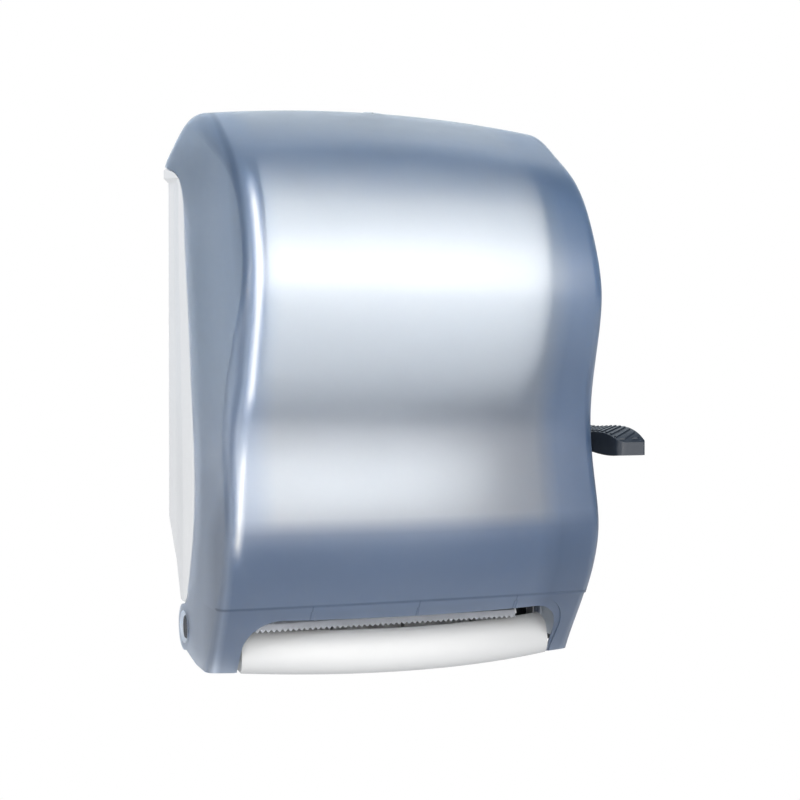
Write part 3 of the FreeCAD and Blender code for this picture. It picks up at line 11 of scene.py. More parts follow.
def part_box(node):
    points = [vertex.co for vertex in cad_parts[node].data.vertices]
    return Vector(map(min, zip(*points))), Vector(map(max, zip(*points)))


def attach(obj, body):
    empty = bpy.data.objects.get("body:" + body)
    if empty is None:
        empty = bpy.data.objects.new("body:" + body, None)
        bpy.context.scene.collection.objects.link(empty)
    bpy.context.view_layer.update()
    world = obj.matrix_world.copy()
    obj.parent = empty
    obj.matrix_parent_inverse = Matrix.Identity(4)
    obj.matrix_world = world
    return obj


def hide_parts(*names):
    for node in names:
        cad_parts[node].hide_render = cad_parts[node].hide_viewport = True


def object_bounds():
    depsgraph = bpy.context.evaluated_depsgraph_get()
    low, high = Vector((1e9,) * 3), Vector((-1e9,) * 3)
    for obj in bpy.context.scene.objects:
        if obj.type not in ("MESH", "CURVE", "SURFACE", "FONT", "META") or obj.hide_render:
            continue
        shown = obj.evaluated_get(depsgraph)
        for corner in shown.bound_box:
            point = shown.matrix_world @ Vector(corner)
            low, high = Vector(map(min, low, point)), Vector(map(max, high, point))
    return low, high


bl_info = {
    "name": "Lever roll towel dispenser",
    "version": (1, 0),
    "blender": (4, 5, 0),
    "location": "View3D > Sidebar > Dispenser",
    "description": "Builds the finishes, the fine parts and the studio around the packed dispenser",
    "category": "Object",
}

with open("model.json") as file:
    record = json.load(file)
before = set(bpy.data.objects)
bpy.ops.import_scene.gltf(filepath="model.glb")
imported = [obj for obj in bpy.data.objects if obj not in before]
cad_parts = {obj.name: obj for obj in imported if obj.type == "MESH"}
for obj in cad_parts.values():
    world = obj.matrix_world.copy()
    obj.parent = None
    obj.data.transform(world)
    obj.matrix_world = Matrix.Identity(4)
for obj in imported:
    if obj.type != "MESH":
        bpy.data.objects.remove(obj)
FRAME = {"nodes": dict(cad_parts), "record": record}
CAD_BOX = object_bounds()
NODES = FRAME["nodes"]
SLOT_OF = {part["node"]: part["material_slot"] for part in FRAME["record"]["subparts"]}
MM = 0.001
ORIGIN_HEIGHT = 225.0         # the frame's origin above the dispenser's lower edge, in mm

# places in mm: x to the right, y into the wall, z above the dispenser's lower edge
ROLL_AXIS = (-113.0, 282.0)
ROLL_SPAN = (-111.0, 91.7)
STUB_AXIS = (-58.0, 122.2)
STUB_SPAN = (-112.4, 88.6)
CORE_BORE = 20.0
CORE_OUTER = 21.2
CORE_WINDING = 1.2
WINDING_SINK = 0.35           # how far every second winding stands back at a roll's ends
FEED_AXIS = (-111.8716, 80.1549)
SLEEVE_STARTS = (-104.5, -54.5, -4.5, 45.5)
SLEEVE_LENGTH = 40.0
SLEEVE_RADIUS = 22.0
SLEEVE_BORE = 16.0
PAPER = 0.25                  # thickness of the stub's towel
PAPER_GAP = 0.1               # between the towel and the sleeves
TOWEL_WRAP = 60.0             # how far the towel lies round the feed roller, in degrees
HINGE_AXIS = (-65.0, 20.5)
SCREW_HEAD_HEIGHT = 2.2
SCREW_SHANK_RADIUS = 1.9
CHASSIS_SCREWS = ((-131.0, -6.0, 126.0), (-131.0, -6.0, 170.0), (103.0, -6.0, 126.0), (103.0, -6.0, 170.0),
                  (-103.0, -7.0, 259.0), (-103.0, -7.0, 305.0), (-49.5, -6.0, 134.0), (30.5, -6.0, 134.0),
                  (-7.0, -6.0, 391.4), (7.0, -6.0, 391.4))
CASE_SCREWS = ((124.0, -118.0, 171.0), (124.0, -30.0, 108.0), (124.0, -36.0, 160.0))
PAN_SCREWS = ((-100.0, -105.0), (0.0, -105.0), (100.0, -105.0))
FINISHES = {}                 # materials by their slot, filled by the first operator


# ---------------------------------------------------------------- sizes and colours a user may change
def length_setting(name, description, default, low, high):
    """Return a property for a length, given in mm."""
    return FloatProperty(name=name, description=description, default=default * MM, min=low * MM,
                         max=high * MM, unit="LENGTH", subtype="DISTANCE")


def colour_setting(name, description, default):
    """Return a property for a colour."""
    return FloatVectorProperty(name=name, description=description, default=default, subtype="COLOR", size=3,
                               min=0.0, max=1.0)


class DispenserSizes(bpy.types.PropertyGroup):
    """Sizes of the fine parts."""

    roll_radius: length_setting("Roll radius", "Outer radius of the towel roll", 93.0, 30.0, 93.0)
    stub_radius: length_setting("Stub radius", "Outer radius of the used-up roll in the cradle", 43.0, 25.0,
                                43.0)
    winding: length_setting("Winding step", "Distance between the windings that show on a roll's ends", 2.6,
                            1.0, 10.0)
    screw_head: length_setting("Screw head", "Radius of the pan heads", 3.6, 2.0, 4.0)
    sleeve_grooves: IntProperty(
        name="Sleeve grooves", description="Grooves round each rubber sleeve of the feed roller", default=36,
        min=12, max=60)
    sleeve_groove: length_setting("Groove depth", "Depth of the grooves in the rubber sleeves", 0.7, 0.2, 2.0)


class DispenserColours(bpy.types.PropertyGroup):
    """Colours of the dispenser."""

    cover: colour_setting("Cover", "Tint of the frosted cover", (0.86, 0.895, 0.93))
    haze: colour_setting("Haze", "Tone that the cover's skin scatters", (0.04, 0.20, 0.54))
    housing: colour_setting("Housing", "Colour of the back housing", (0.62, 0.63, 0.65))
    chin: colour_setting("Chin", "Colour of the white chin under the outlet", (0.32, 0.328, 0.34))
    lever: colour_setting("Lever", "Colour of the lever", (0.013, 0.018, 0.027))
    towel: colour_setting("Towel", "Colour of the paper towels", (0.72, 0.72, 0.71))


# ---------------------------------------------------------------- shader maths
class Signal:
    """The output of a shader node, with the usual operators."""

    def __init__(self, shader, socket):
        self.shader = shader
        self.socket = socket

    def _math(self, operation, first, second):
        return self.shader.add("ShaderNodeMath", {"operation": operation}, {0: first, 1: second})

    def __add__(self, other):
        return self._math("ADD", self, other)

    def __radd__(self, other):
        return self._math("ADD", other, self)

    def __sub__(self, other):
        return self._math("SUBTRACT", self, other)

    def __rsub__(self, other):
        return self._math("SUBTRACT", other, self)

    def __mul__(self, other):
        return self._math("MULTIPLY", self, other)

    def __rmul__(self, other):
        return self._math("MULTIPLY", other, self)


class Shader:
    """A tree of shader nodes while it is put together."""

    def __init__(self, tree, place):
        self.tree = tree
        self.tree.nodes.clear()
        self.place = self.add("ShaderNodeTexCoord", {}, {}, place)

    def add(self, kind, settings, inputs, output=0):
        """Add a node; settings are set first, then its sockets are given values or links."""
        node = self.tree.nodes.new(kind)
        for name, value in settings.items():
            setattr(node, name, value)
        for key, value in inputs.items():
            if isinstance(value, Signal):
                self.tree.links.new(value.socket, node.inputs[key])
            else:
                node.inputs[key].default_value = value
        return Signal(self, node.outputs[output])

    def between(self, value, low, high, out_low, out_high, curve="LINEAR"):
        """Map a value from one span to another, held at the ends."""
        return self.add("ShaderNodeMapRange", {"clamp": True, "interpolation_type": curve},
                        {"Value": value, "From Min": low, "From Max": high,
                         "To Min": out_low, "To Max": out_high})

    def add_output(self, kind, surface):
        """Lead a surface or a background to the tree's output."""
        output = self.tree.nodes.new(kind)
        self.tree.links.new(surface.socket, output.inputs["Surface"])

    def blend(self, share, first, second):
        """Mix two colours."""
        return self.add("ShaderNodeMix", {"data_type": "RGBA"}, {0: share, 6: first, 7: second}, 2)

    def mixed(self, share, first, second):
        """Mix two surfaces."""
        return self.add("ShaderNodeMixShader", {}, {0: share, 1: first, 2: second})


class Finish(Shader):
    """A node material while it is put together."""

    def __init__(self, name):
        self.material = bpy.data.materials.new(name)
        FINISHES[name] = self.material
        self.material.use_nodes = True
        super().__init__(self.material.node_tree, "Object")

    def stretched(self, factors):
        """Return the place on the piece, scaled along each axis."""
        return self.add("ShaderNodeMapping", {}, {"Vector": self.place, "Scale": factors})

    def noise(self, size, detail=2.0, rough=0.5):
        """Return fractal noise whose blotches are about size metres across."""
        return self.add("ShaderNodeTexNoise", {}, {"Vector": self.place, "Scale": 1.0 / size,
                                                   "Detail": detail, "Roughness": rough}, "Fac")

    def streaks(self, factors, detail, rough):
        """Return fractal noise scaled along each axis."""
        return self.add("ShaderNodeTexNoise", {}, {"Vector": self.stretched(factors), "Scale": 1.0,
                                                   "Detail": detail, "Roughness": rough}, "Fac")

    def cells(self, size):
        """Return the distance to the nearest of scattered points, size metres apart."""
        return self.add("ShaderNodeTexVoronoi", {"feature": "F1"},
                        {"Vector": self.place, "Scale": 1.0 / size}, "Distance")

    def rise(self, value, span):
        """Go from 0 to 1 over a span in mm."""
        return self.between(value, span[0] * MM, span[1] * MM, 0.0, 1.0)

    def fall(self, value, span):
        """Go from 1 to 0 over a span in mm."""
        return self.between(value, span[0] * MM, span[1] * MM, 1.0, 0.0)

    def axis(self, name):
        """Return one coordinate of the place on the piece."""
        return self.add("ShaderNodeSeparateXYZ", {}, {"Vector": self.place}, name)

    def size_of(self, value):
        """Return a value without its sign."""
        return self.add("ShaderNodeMath", {"operation": "ABSOLUTE"}, {0: value})

    def larger(self, first, second):
        """Return the larger of two values."""
        return self.add("ShaderNodeMath", {"operation": "MAXIMUM"}, {0: first, 1: second})

    def bump(self, height, depth):
        """Return a normal raised by a height of 0 to 1, depth metres deep."""
        return self.add("ShaderNodeBump", {}, {"Height": height, "Distance": depth, "Strength": 1.0})

    def finished(self, inputs):
        """Close the material with a principled surface."""
        return self.closed(self.add("ShaderNodeBsdfPrincipled", {}, inputs))

    def closed(self, surface):
        """Close the material with any surface."""
        self.add_output("ShaderNodeOutputMaterial", surface)
        return self.material


def rgba(colour, gain=1.0):
    """Return a colour with alpha, made lighter or darker by a gain."""
    return tuple(min(1.0, channel * gain) for channel in colour[:3]) + (1.0,)


# ---------------------------------------------------------------- finishes
PLASTIC_IOR = 1.49
BLACK = (0.0, 0.0, 0.0, 1.0)


def grained(finish, colour, rough, grain=0.7, depth=0.012, mottle=0.04, ior=PLASTIC_IOR):
    """Return the inputs of moulded plastic: slight cloudiness, a fine spark-eroded grain and worn gloss."""
    cloud = finish.noise(45.0 * MM, 3.0, 0.55)
    speck = finish.noise(grain * MM, 3.0, 0.6)
    scuff = finish.noise(9.0 * MM, 4.0, 0.65)
    return {"Base Color": finish.blend(cloud, rgba(colour, 1.0 - mottle), rgba(colour, 1.0 + mottle)),
            "Roughness": finish.between(scuff * 0.7 + speck * 0.3, 0.35, 0.65, rough - 0.05, rough + 0.07),
            "Normal": finish.bump(speck, depth * MM), "IOR": ior}


def moulded(name, colour, rough, **grain):
    """Return moulded plastic."""
    finish = Finish(name)
    return finish.finished(grained(finish, colour, rough, **grain))


# painted shade: the hinge bosses behind the chin are darkened to stand for the dark recess there
BOSS_SHADE_TONE = (0.02, 0.021, 0.024, 1.0)
BOSS_INNER, BOSS_OUTER = (117.0, 118.0), (136.6, 137.2)     # x, on both sides, in mm
BOSS_BACK, BOSS_TOP = (-46.0, -44.0), (-195.0, -193.0)      # y and z in the frame, in mm


def shell(name, colour, rough):
    """Return the housing's plastic, with painted shade on the bosses round the hinge pins."""
    finish = Finish(name)
    across, back, up = (finish.axis(letter) for letter in "XYZ")
    side = finish.size_of(across)
    boss_shade = finish.rise(side, BOSS_INNER) * finish.fall(side, BOSS_OUTER)
    boss_shade = boss_shade * finish.fall(back, BOSS_BACK) * finish.fall(up, BOSS_TOP)
    inputs = grained(finish, colour, rough, mottle=0.02)
    # painted shade over the hinge bosses
    inputs["Base Color"] = finish.blend(boss_shade, inputs["Base Color"], BOSS_SHADE_TONE)
    return finish.finished(inputs)


# ---------------------------------------------------------------- the cover's finish, with painted light and shade
# The wall is even: the zones, lines and tones below are placed one by one. Spans and places are in mm in the
# frame, and a line's width is the distance from its middle at which it is full and has faded.
COVER_ROUGH = 0.36
HAZE_SHARE = 0.10                                           # how much of the light the skin scatters
# painted highlight: the pale tone of the line beside the left corner
RIDGE_HIGHLIGHT_TONE = (0.80, 0.84, 0.90, 1.0)
# painted shade on the cover's ears, in the hinge recess
EAR_SHADE_TONE = (0.035, 0.045, 0.065, 1.0)
LOW_LIGHT_TONE = (0.93, 0.965, 1.0, 1.0)                          # painted light: the body is lighter low in the middle

# painted shade: the right zone, a low zone and a band high up are darkened; painted light: the middle and the
# flanks are clearer
RIGHT_ZONE, LEFT_ZONE = (84.0, 102.0), (-118.0, -104.0)     # x
FLANK_ZONE = (131.0, 135.0)                                 # x, on both sides
LOWER_ZONE, LOWER_DARK = (-121.0, -110.0), 0.48             # z
UPPER_START, UPPER_END, UPPER_DARK = (100.0, 140.0), (150.0, 172.0), 0.25
RIGHT_LEVELS, RIGHT_DARK = (-10.0, 60.0), (0.5, 0.15)       # z, and how dark the painted shade on the right zone is there
LOW_BODY = (-85.0, -60.0)
LOW_FROST, LOW_FROST_ROUGH = (-60.0, -15.0), 0.12
MIDDLE_CLEAR, FLANK_CLEAR = 0.65, 0.2                       # share of the haze that is taken away, which paints light into the middle and the flanks

STEP_BELOW = 170.5                                          # the painted shadow line under the step: its middle, below the origin
STEP_ARCH = 0.1775                                          # how it drops to the sides, per metre
STEP_WIDTH, STEP_LIGHT = (0.4, 1.5), 0.3                    # the light is what the line lets through
STEP_END, STEP_FADE = (-170.0, -162.0), 2.0                 # y over which it ends, as its distance grows
# painted shade lines at the three ribs below the step
RIBS, RIB_WIDTH, RIB_LIGHT = (-76.6, -2.0, 73.8), (0.2, 0.8), 0.45

# painted shade on the cover's ears round the hinge, where the recess is
EAR_EDGE = (100e-6, 140e-6)                                 # squared distance from the hinge axis, in m2
EAR_DARK, EAR_SHARE, EAR_ROUGH = 0.8, 0.9, 0.45

EDGE_LEVELS, EDGE_PLACES = (-125.0, -20.0), (130.0, 119.5)  # z, and the x of the front's edges there
# painted shade along the front's two corners
CORNER_BESIDE, CORNER_WIDTH, CORNER_DARK = 8.5, (0.8, 3.2), 0.45
# painted highlight: a pale line beside the left corner, where a lamp's reflection runs
RIDGE_WIDTH, RIDGE_TOP, RIDGE_FOOT = (0.4, 4.4), (100.0, 125.0), (-142.0, -126.0)
RIDGE_GAP_BELOW, RIDGE_GAP, RIDGE_GAP_LEFT = 50.0, (6.0, 24.0), 0.2
RIDGE_LEVELS, RIDGE_SHARE = (-70.0, -20.0), (0.16, 0.3)


def painted_zones(finish, across, up):
    """Return the painted shade of the cover's zones, its middle made clearer as painted light, and its two
    flanks; the wall is even.
    """
    right = finish.rise(across, RIGHT_ZONE)
    left = finish.fall(across, LEFT_ZONE)
    flank = finish.rise(finish.size_of(across), FLANK_ZONE)
    lower = finish.fall(up, LOWER_ZONE) * (1.0 - flank)
    upper = finish.rise(up, UPPER_START) * finish.fall(up, UPPER_END)
    low, high = RIGHT_LEVELS
    beside = right * finish.between(up, low * MM, high * MM, *RIGHT_DARK)
    tone = (1.0 - beside) * (1.0 - lower * LOWER_DARK) * (1.0 - upper * UPPER_DARK)
    middle = (1.0 - right) * (1.0 - lower) * (1.0 - upper) * (1.0 - left)
    return tone, middle, flank


def outlet_shadow_lines(finish, across, back, up):
    """Return the painted shadow line of the step above the outlet and the painted shade lines of three ribs,
    drawn on an even wall.
    """
    step = up + across * across * STEP_ARCH + STEP_BELOW * MM
    fade = finish.rise(back, STEP_END) * (STEP_FADE * MM)
    near, far = STEP_WIDTH
    line = finish.between(finish.size_of(step) + fade, near * MM, far * MM, STEP_LIGHT, 1.0)
    above = finish.rise(step, (-0.1, 0.0))
    near, far = RIB_WIDTH
    for place in RIBS:
        rib = finish.between(finish.size_of(across - place * MM), near * MM, far * MM, RIB_LIGHT, 1.0)
        line = line * finish.larger(rib, above)
    return line


def hinge_ear_shade(finish, back, up):
    """Return the discs round the hinge axis, where painted shade darkens the cover's ears."""
    axis = row(0.0, *HINGE_AXIS)
    off_y, off_z = back - axis.y, up - axis.z
    near, far = EAR_EDGE
    return finish.between(off_y * off_y + off_z * off_z, near, far, 1.0, 0.0)


def corner_shade_and_highlight(finish, across, up):
    """Return the painted shade lines on the front's two corners, and the painted highlight beside the left
    corner.
    """
    low, high = EDGE_LEVELS
    wide, narrow = EDGE_PLACES
    place = finish.between(up, low * MM, high * MM, wide * MM, narrow * MM)
    corner = finish.fall(finish.size_of(place + CORNER_BESIDE * MM - finish.size_of(across)), CORNER_WIDTH)
    ridge_highlight = finish.fall(finish.size_of(place + across), RIDGE_WIDTH)
    ridge_highlight = ridge_highlight * finish.fall(up, RIDGE_TOP) * finish.rise(up, RIDGE_FOOT)
    near, far = RIDGE_GAP
    from_gap = finish.size_of(up + RIDGE_GAP_BELOW * MM)
    ridge_highlight = ridge_highlight * finish.between(from_gap, near * MM, far * MM, RIDGE_GAP_LEFT, 1.0)
    return corner, ridge_highlight


def frosted(name, colour, rough, haze, haze_share):
    """Return the cover's frosted plastic: clear body, and a haze of another tone in its skin; light and shade
    are painted into both by place.
    """
    finish = Finish(name)
    across, back, up = (finish.axis(letter) for letter in "XYZ")
    tone, middle, flank = painted_zones(finish, across, up)
    corner, ridge_highlight = corner_shade_and_highlight(finish, across, up)
    # painted shade on the ears round the hinge
    shaded_ear = hinge_ear_shade(finish, back, up)
    off_ear = 1.0 - shaded_ear * EAR_DARK
    # painted shade: the zones, the step and rib lines, the ears and the corners darken the clear body
    shade = tone * outlet_shadow_lines(finish, across, back, up) * off_ear * (1.0 - corner * CORNER_DARK)

    cloud = finish.noise(70.0 * MM, 2.0, 0.5)
    body = finish.blend(cloud, rgba(colour, 0.98), rgba(colour, 1.02))
    # painted light: the body is lighter low in the middle
    body = finish.blend(middle * finish.fall(up, LOW_BODY), body, LOW_LIGHT_TONE)
    low, high = LOW_FROST
    frost = finish.between(up, low * MM, high * MM, LOW_FROST_ROUGH, 0.0)
    blotch = finish.noise(14.0 * MM, 4.0, 0.6)
    spread = finish.between(blotch, 0.3, 0.7, rough - 0.02, rough + 0.03) + frost
    clear = finish.add("ShaderNodeBsdfPrincipled", {}, {
        "Base Color": finish.blend(shade, BLACK, body), "Roughness": spread, "IOR": PLASTIC_IOR,
        "Transmission Weight": 1.0, "Coat Weight": 0.25, "Coat Roughness": 0.3})

    veil = finish.blend(cloud, rgba(haze, 0.94), rgba(haze, 1.06))
    # painted highlight on the line beside the left corner
    veil = finish.blend(shaded_ear, finish.blend(ridge_highlight, veil, RIDGE_HIGHLIGHT_TONE), EAR_SHADE_TONE)
    skin = finish.add("ShaderNodeBsdfPrincipled", {}, {
        "Base Color": veil, "Roughness": spread + shaded_ear * EAR_ROUGH, "IOR": PLASTIC_IOR})
    low, high = RIDGE_LEVELS
    # painted light: less haze in the middle and on the flanks
    share = (1.0 - middle * MIDDLE_CLEAR) * (1.0 - flank * FLANK_CLEAR) * off_ear * haze_share
    share = share + ridge_highlight * finish.between(up, low * MM, high * MM, *RIDGE_SHARE) + shaded_ear * EAR_SHARE
    return finish.closed(finish.mixed(share, clear, skin))


# ---------------------------------------------------------------- metal, rubber, paper and card
def brushed(name, colour, along, rough):
    """Return brushed or turned steel with marks along an axis."""
    finish = Finish(name)
    long, short = 30.0, 1400.0
    factors = tuple(long if axis == along else short for axis in "XYZ")
    mark = finish.streaks(factors, 3.0, 0.6)
    cloud = finish.noise(25.0 * MM, 3.0, 0.6)
    base = finish.blend(mark * 0.6 + cloud * 0.4, rgba(colour, 0.82), rgba(colour, 1.12))
    roughness = finish.between(mark, 0.3, 0.7, rough - 0.08, rough + 0.12)
    normal = finish.bump(mark, 0.015 * MM)
    return finish.finished({"Base Color": base, "Roughness": roughness, "Normal": normal, "Metallic": 1.0})


def plated(name, colour, rough=0.22):
    """Return bright plating with faint crystal clouding."""
    finish = Finish(name)
    crystal = finish.cells(1.6 * MM)
    cloud = finish.noise(6.0 * MM, 3.0, 0.6)
    base = finish.blend(cloud, rgba(colour, 0.86), rgba(colour, 1.08))
    roughness = finish.between(crystal, 0.0, 0.9, rough - 0.06, rough + 0.10)
    return finish.finished({"Base Color": base, "Roughness": roughness, "Metallic": 1.0,
                            "Normal": finish.bump(finish.noise(0.8 * MM, 2.0), 0.006 * MM)})


def rubber(name, colour, rib=0.0):
    """Return dull rubber with a bloom and, on rollers, fine ribs around the roller."""
    finish = Finish(name)
    bloom = finish.noise(12.0 * MM, 4.0, 0.6)
    speck = finish.noise(0.5 * MM, 3.0, 0.7)
    base = finish.blend(bloom, rgba(colour, 0.8), rgba(colour, 1.6))
    height = speck
    if rib:
        wave = finish.add("ShaderNodeMath", {"operation": "SINE"},
                          {0: finish.axis("X") * (2.0 * math.pi / (rib * MM))})
        height = wave * 0.4 + speck * 0.3
    return finish.finished({"Base Color": base, "Roughness": finish.between(speck, 0.3, 0.7, 0.62, 0.82),
                            "Normal": finish.bump(height, 0.08 * MM)})


def towelling(name, colour):
    """Return embossed paper towel: small scattered pillows over a crepe grain."""
    finish = Finish(name)
    pillow = finish.cells(3.4 * MM)
    crepe = finish.noise(1.5 * MM, 3.0, 0.6)
    cloud = finish.noise(30.0 * MM, 2.0, 0.5)
    # partly painted shade: the towel is darker between its pillows and lighter on them, over a random cloud
    base = finish.blend(cloud * 0.5 + pillow * 0.5, rgba(colour, 1.03), rgba(colour, 0.96))
    height = finish.between(pillow, 0.0, 0.7, 1.0, 0.0) * 0.7 + crepe * 0.3
    return finish.finished({"Base Color": base, "Roughness": 0.95, "Specular IOR Level": 0.2,
                            "Normal": finish.bump(height, 0.16 * MM)})


def board(name, colour):
    """Return brown cardboard with fibres and the seam lines of its winding."""
    finish = Finish(name)
    fibre = finish.streaks((150.0, 700.0, 700.0), 4.0, 0.65)
    wrap = finish.add("ShaderNodeTexWave", {"bands_direction": "DIAGONAL"},
                      {"Vector": finish.place, "Scale": 14.0, "Distortion": 0.4}, "Fac")
    seam = finish.between(wrap, 0.0, 0.04, 0.0, 1.0)
    base = finish.blend(seam, rgba(colour, 0.6), finish.blend(fibre, rgba(colour, 0.85), rgba(colour, 1.15)))
    return finish.finished({"Base Color": base, "Roughness": 0.9, "Normal": finish.bump(fibre, 0.05 * MM)})


def make_finishes(colours):
    """Make every material under its slot's name."""
    white = (0.58, 0.59, 0.61)
    frosted("cover_smoke", colours.cover, COVER_ROUGH, colours.haze, HAZE_SHARE)
    shell("housing_white", colours.housing, 0.42)
    moulded("chin_white", colours.chin, 0.48, grain=1.6, depth=0.0008, mottle=0.01)
    moulded("lever_black", colours.lever, 0.4, grain=0.7, depth=0.015, mottle=0.2, ior=1.4)
    moulded("case_black", (0.022, 0.022, 0.024), 0.5, grain=0.8, depth=0.03, mottle=0.2)
    moulded("core_black", (0.03, 0.03, 0.032), 0.4, mottle=0.15)
    moulded("plate_grey", (0.035, 0.036, 0.04), 0.46, mottle=0.12)
    moulded("cradle_grey", (0.42, 0.43, 0.45), 0.45, mottle=0.04)
    moulded("guide_white", white, 0.38)
    moulded("arm_white", (0.60, 0.61, 0.63), 0.4)
    moulded("hub_white", (0.62, 0.63, 0.645), 0.36)
    towelling("towel_white", colours.towel)
    board("core_card", (0.40, 0.31, 0.22))
    moulded("gear_white", (0.80, 0.79, 0.72), 0.34, grain=1.4, depth=0.006)
    moulded("wheel_white", (0.70, 0.71, 0.73), 0.38)
    moulded("roller_white", (0.74, 0.75, 0.77), 0.34)
    moulded("pin_grey", (0.03, 0.034, 0.042), 0.6)
    moulded("bush_nylon", (0.76, 0.74, 0.66), 0.42, grain=1.6, depth=0.005)
    rubber("sleeve_rubber", (0.045, 0.045, 0.048), rib=1.6)
    rubber("stop_rubber", (0.035, 0.035, 0.035))
    # painted shade: the tear bar's steel is darker than steel, for the shade it lies in under the cover's lip
    brushed("bar_steel", (0.17, 0.18, 0.20), "X", 0.46)
    brushed("shaft_steel", (0.52, 0.52, 0.54), "Y", 0.24)
    brushed("steel_dark", (0.32, 0.32, 0.34), "Y", 0.32)
    brushed("spring_steel", (0.42, 0.42, 0.45), "X", 0.3)
    plated("zinc", (0.62, 0.64, 0.67))
    plated("lock_metal", (0.55, 0.56, 0.58), 0.26)


# ---------------------------------------------------------------- modelling helpers
def row(x, y, z):
    """Return a place given in mm above the lower edge as metres in the frame."""
    return Vector((x, y, z - ORIGIN_HEIGHT)) * MM


def drop_all():
    """Leave nothing selected."""
    bpy.ops.object.select_all(action="DESELECT")


def pick(*pieces):
    """Select only these pieces; the first one is active."""
    drop_all()
    for piece in pieces:
        piece.select_set(True)
    bpy.context.view_layer.objects.active = pieces[0]


def fix(piece):
    """Put a piece's place and turn into its mesh."""
    pick(piece)
    bpy.ops.object.transform_apply(location=True, rotation=True, scale=True)
    return piece


def added():
    """Return the primitive just added, with its place in its mesh."""
    return fix(bpy.context.object)


def choose(piece, kind, wanted):
    """Enter edit mode with the faces (centre, normal) or edges (both ends) that are wanted selected."""
    pick(piece)
    bpy.ops.object.mode_set(mode="EDIT")
    bpy.ops.mesh.select_mode(type=kind)
    bpy.ops.mesh.select_all(action="DESELECT")
    bpy.ops.object.mode_set(mode="OBJECT")
    mesh = piece.data
    if kind == "FACE":
        for face in mesh.polygons:
            face.select = wanted(face.center, face.normal)
    else:
        for edge in mesh.edges:
            edge.select = wanted(*(mesh.vertices[index].co for index in edge.vertices))
    bpy.ops.object.mode_set(mode="EDIT")


def done():
    """Leave edit mode."""
    bpy.ops.object.mode_set(mode="OBJECT")


def outwards(piece):
    """Turn every face of a closed piece outwards, once its doubles are merged."""
    choose(piece, "FACE", lambda centre, normal: True)
    bpy.ops.mesh.remove_doubles(threshold=1e-6)
    bpy.ops.mesh.normals_make_consistent(inside=False)
    done()


def apply(piece, kind, **settings):
    """Add a modifier with its settings and apply it."""
    pick(piece)
    modifier = piece.modifiers.new(kind.lower(), kind)
    for name, value in settings.items():
        setattr(modifier, name, value)
    bpy.ops.object.modifier_apply(modifier=modifier.name)


def copies(base, places):
    """Return one piece joined from copies of a base, moved by matrices; the base is used up."""
    made = []
    for place in places:
        twin = base.copy()
        twin.data = base.data.copy()
        bpy.context.scene.collection.objects.link(twin)
        twin.matrix_world = place
        made.append(twin)
    bpy.data.objects.remove(base)
    for twin in made:
        fix(twin)
    pick(*made)
    if len(made) > 1:
        bpy.ops.object.join()
    return made[0]


def towards(place, direction):
    """Return the matrix that turns +Z to a direction and moves to a place."""
    turn = Vector(direction).to_track_quat("Z", "Y").to_matrix().to_4x4()
    return Matrix.Translation(place) @ turn


def settle(piece, name, body, slot, nodes=(), smooth=30.0):
    """Name and finish a piece, ride it on its body and let it stand for its nodes."""
    pick(piece)
    bpy.ops.object.shade_smooth_by_angle(angle=math.radians(smooth))
    piece.name = name
    piece.data.name = name
    piece.data.materials.clear()
    piece.data.materials.append(FINISHES[slot])
    if nodes:
        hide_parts(*nodes)
    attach(piece, body)
    return piece


# ---------------------------------------------------------------- forms
# half sizes of the recess's two arms, as shares of the head's radius, and how far their floors narrow
RECESS_ARMS, RECESS_TAPER = ((0.52, 0.13, 0.5), (0.13, 0.52, 0.5)), 0.6
TIP_INSET, TIP_LENGTH = 0.35, 0.5     # of a screw's tip, as shares of the shank's radius
HEAD_ROUNDING = 0.55                  # of the head's height


def screw_form(head_radius, head, shank_radius, shank):
    """Return a pan-head screw with a cross recess, its head above the origin along +Z."""
    drop_all()
    bpy.ops.mesh.primitive_cylinder_add(vertices=32, radius=head_radius, depth=head,
                                        location=(0, 0, head / 2))
    screw = added()
    choose(screw, "FACE", lambda centre, normal: normal.z < -0.9)
    bpy.ops.mesh.inset(thickness=head_radius - shank_radius)
    bpy.ops.mesh.extrude_region_move(TRANSFORM_OT_translate={"value": (0, 0, -shank)})
    bpy.ops.mesh.inset(thickness=shank_radius * TIP_INSET)
    bpy.ops.transform.translate(value=(0, 0, -shank_radius * TIP_LENGTH))
    done()
    choose(screw, "EDGE", lambda a, b: min(a.z, b.z) > head - 1e-6)
    bpy.ops.mesh.bevel(offset=head * HEAD_ROUNDING, segments=5, affect="EDGES")
    done()
    cutters = []
    for size in RECESS_ARMS:
        drop_all()
        bpy.ops.mesh.primitive_cube_add(size=2.0, location=(0, 0, head),
                                        scale=tuple(share * head_radius for share in size))
        cutter = added()
        choose(cutter, "FACE", lambda centre, normal: normal.z < -0.9)
        bpy.ops.transform.resize(value=(RECESS_TAPER, RECESS_TAPER, 1.0))
        done()
        cutters.append(cutter)
    for cutter in cutters:
        apply(screw, "BOOLEAN", operation="DIFFERENCE", object=cutter, solver="EXACT")
        bpy.data.objects.remove(cutter)
    return screw


def coil_form(radius, wire, pitch, turns):
    """Return a coil spring along +Z, its wire's middle starting at the origin's height."""
    drop_all()
    bpy.ops.mesh.primitive_circle_add(vertices=10, radius=wire, location=(radius, 0, 0),
                                      rotation=(math.pi / 2, 0, 0))
    spring = added()
    apply(spring, "SCREW", angle=2 * math.pi, screw_offset=pitch, iterations=turns, steps=28,
          render_steps=28, axis="Z")
    choose(spring, "EDGE", lambda a, b: False)
    bpy.ops.mesh.select_mode(type="EDGE")
    bpy.ops.mesh.select_non_manifold()
    bpy.ops.mesh.edge_face_add()
    done()
    outwards(spring)
    return spring


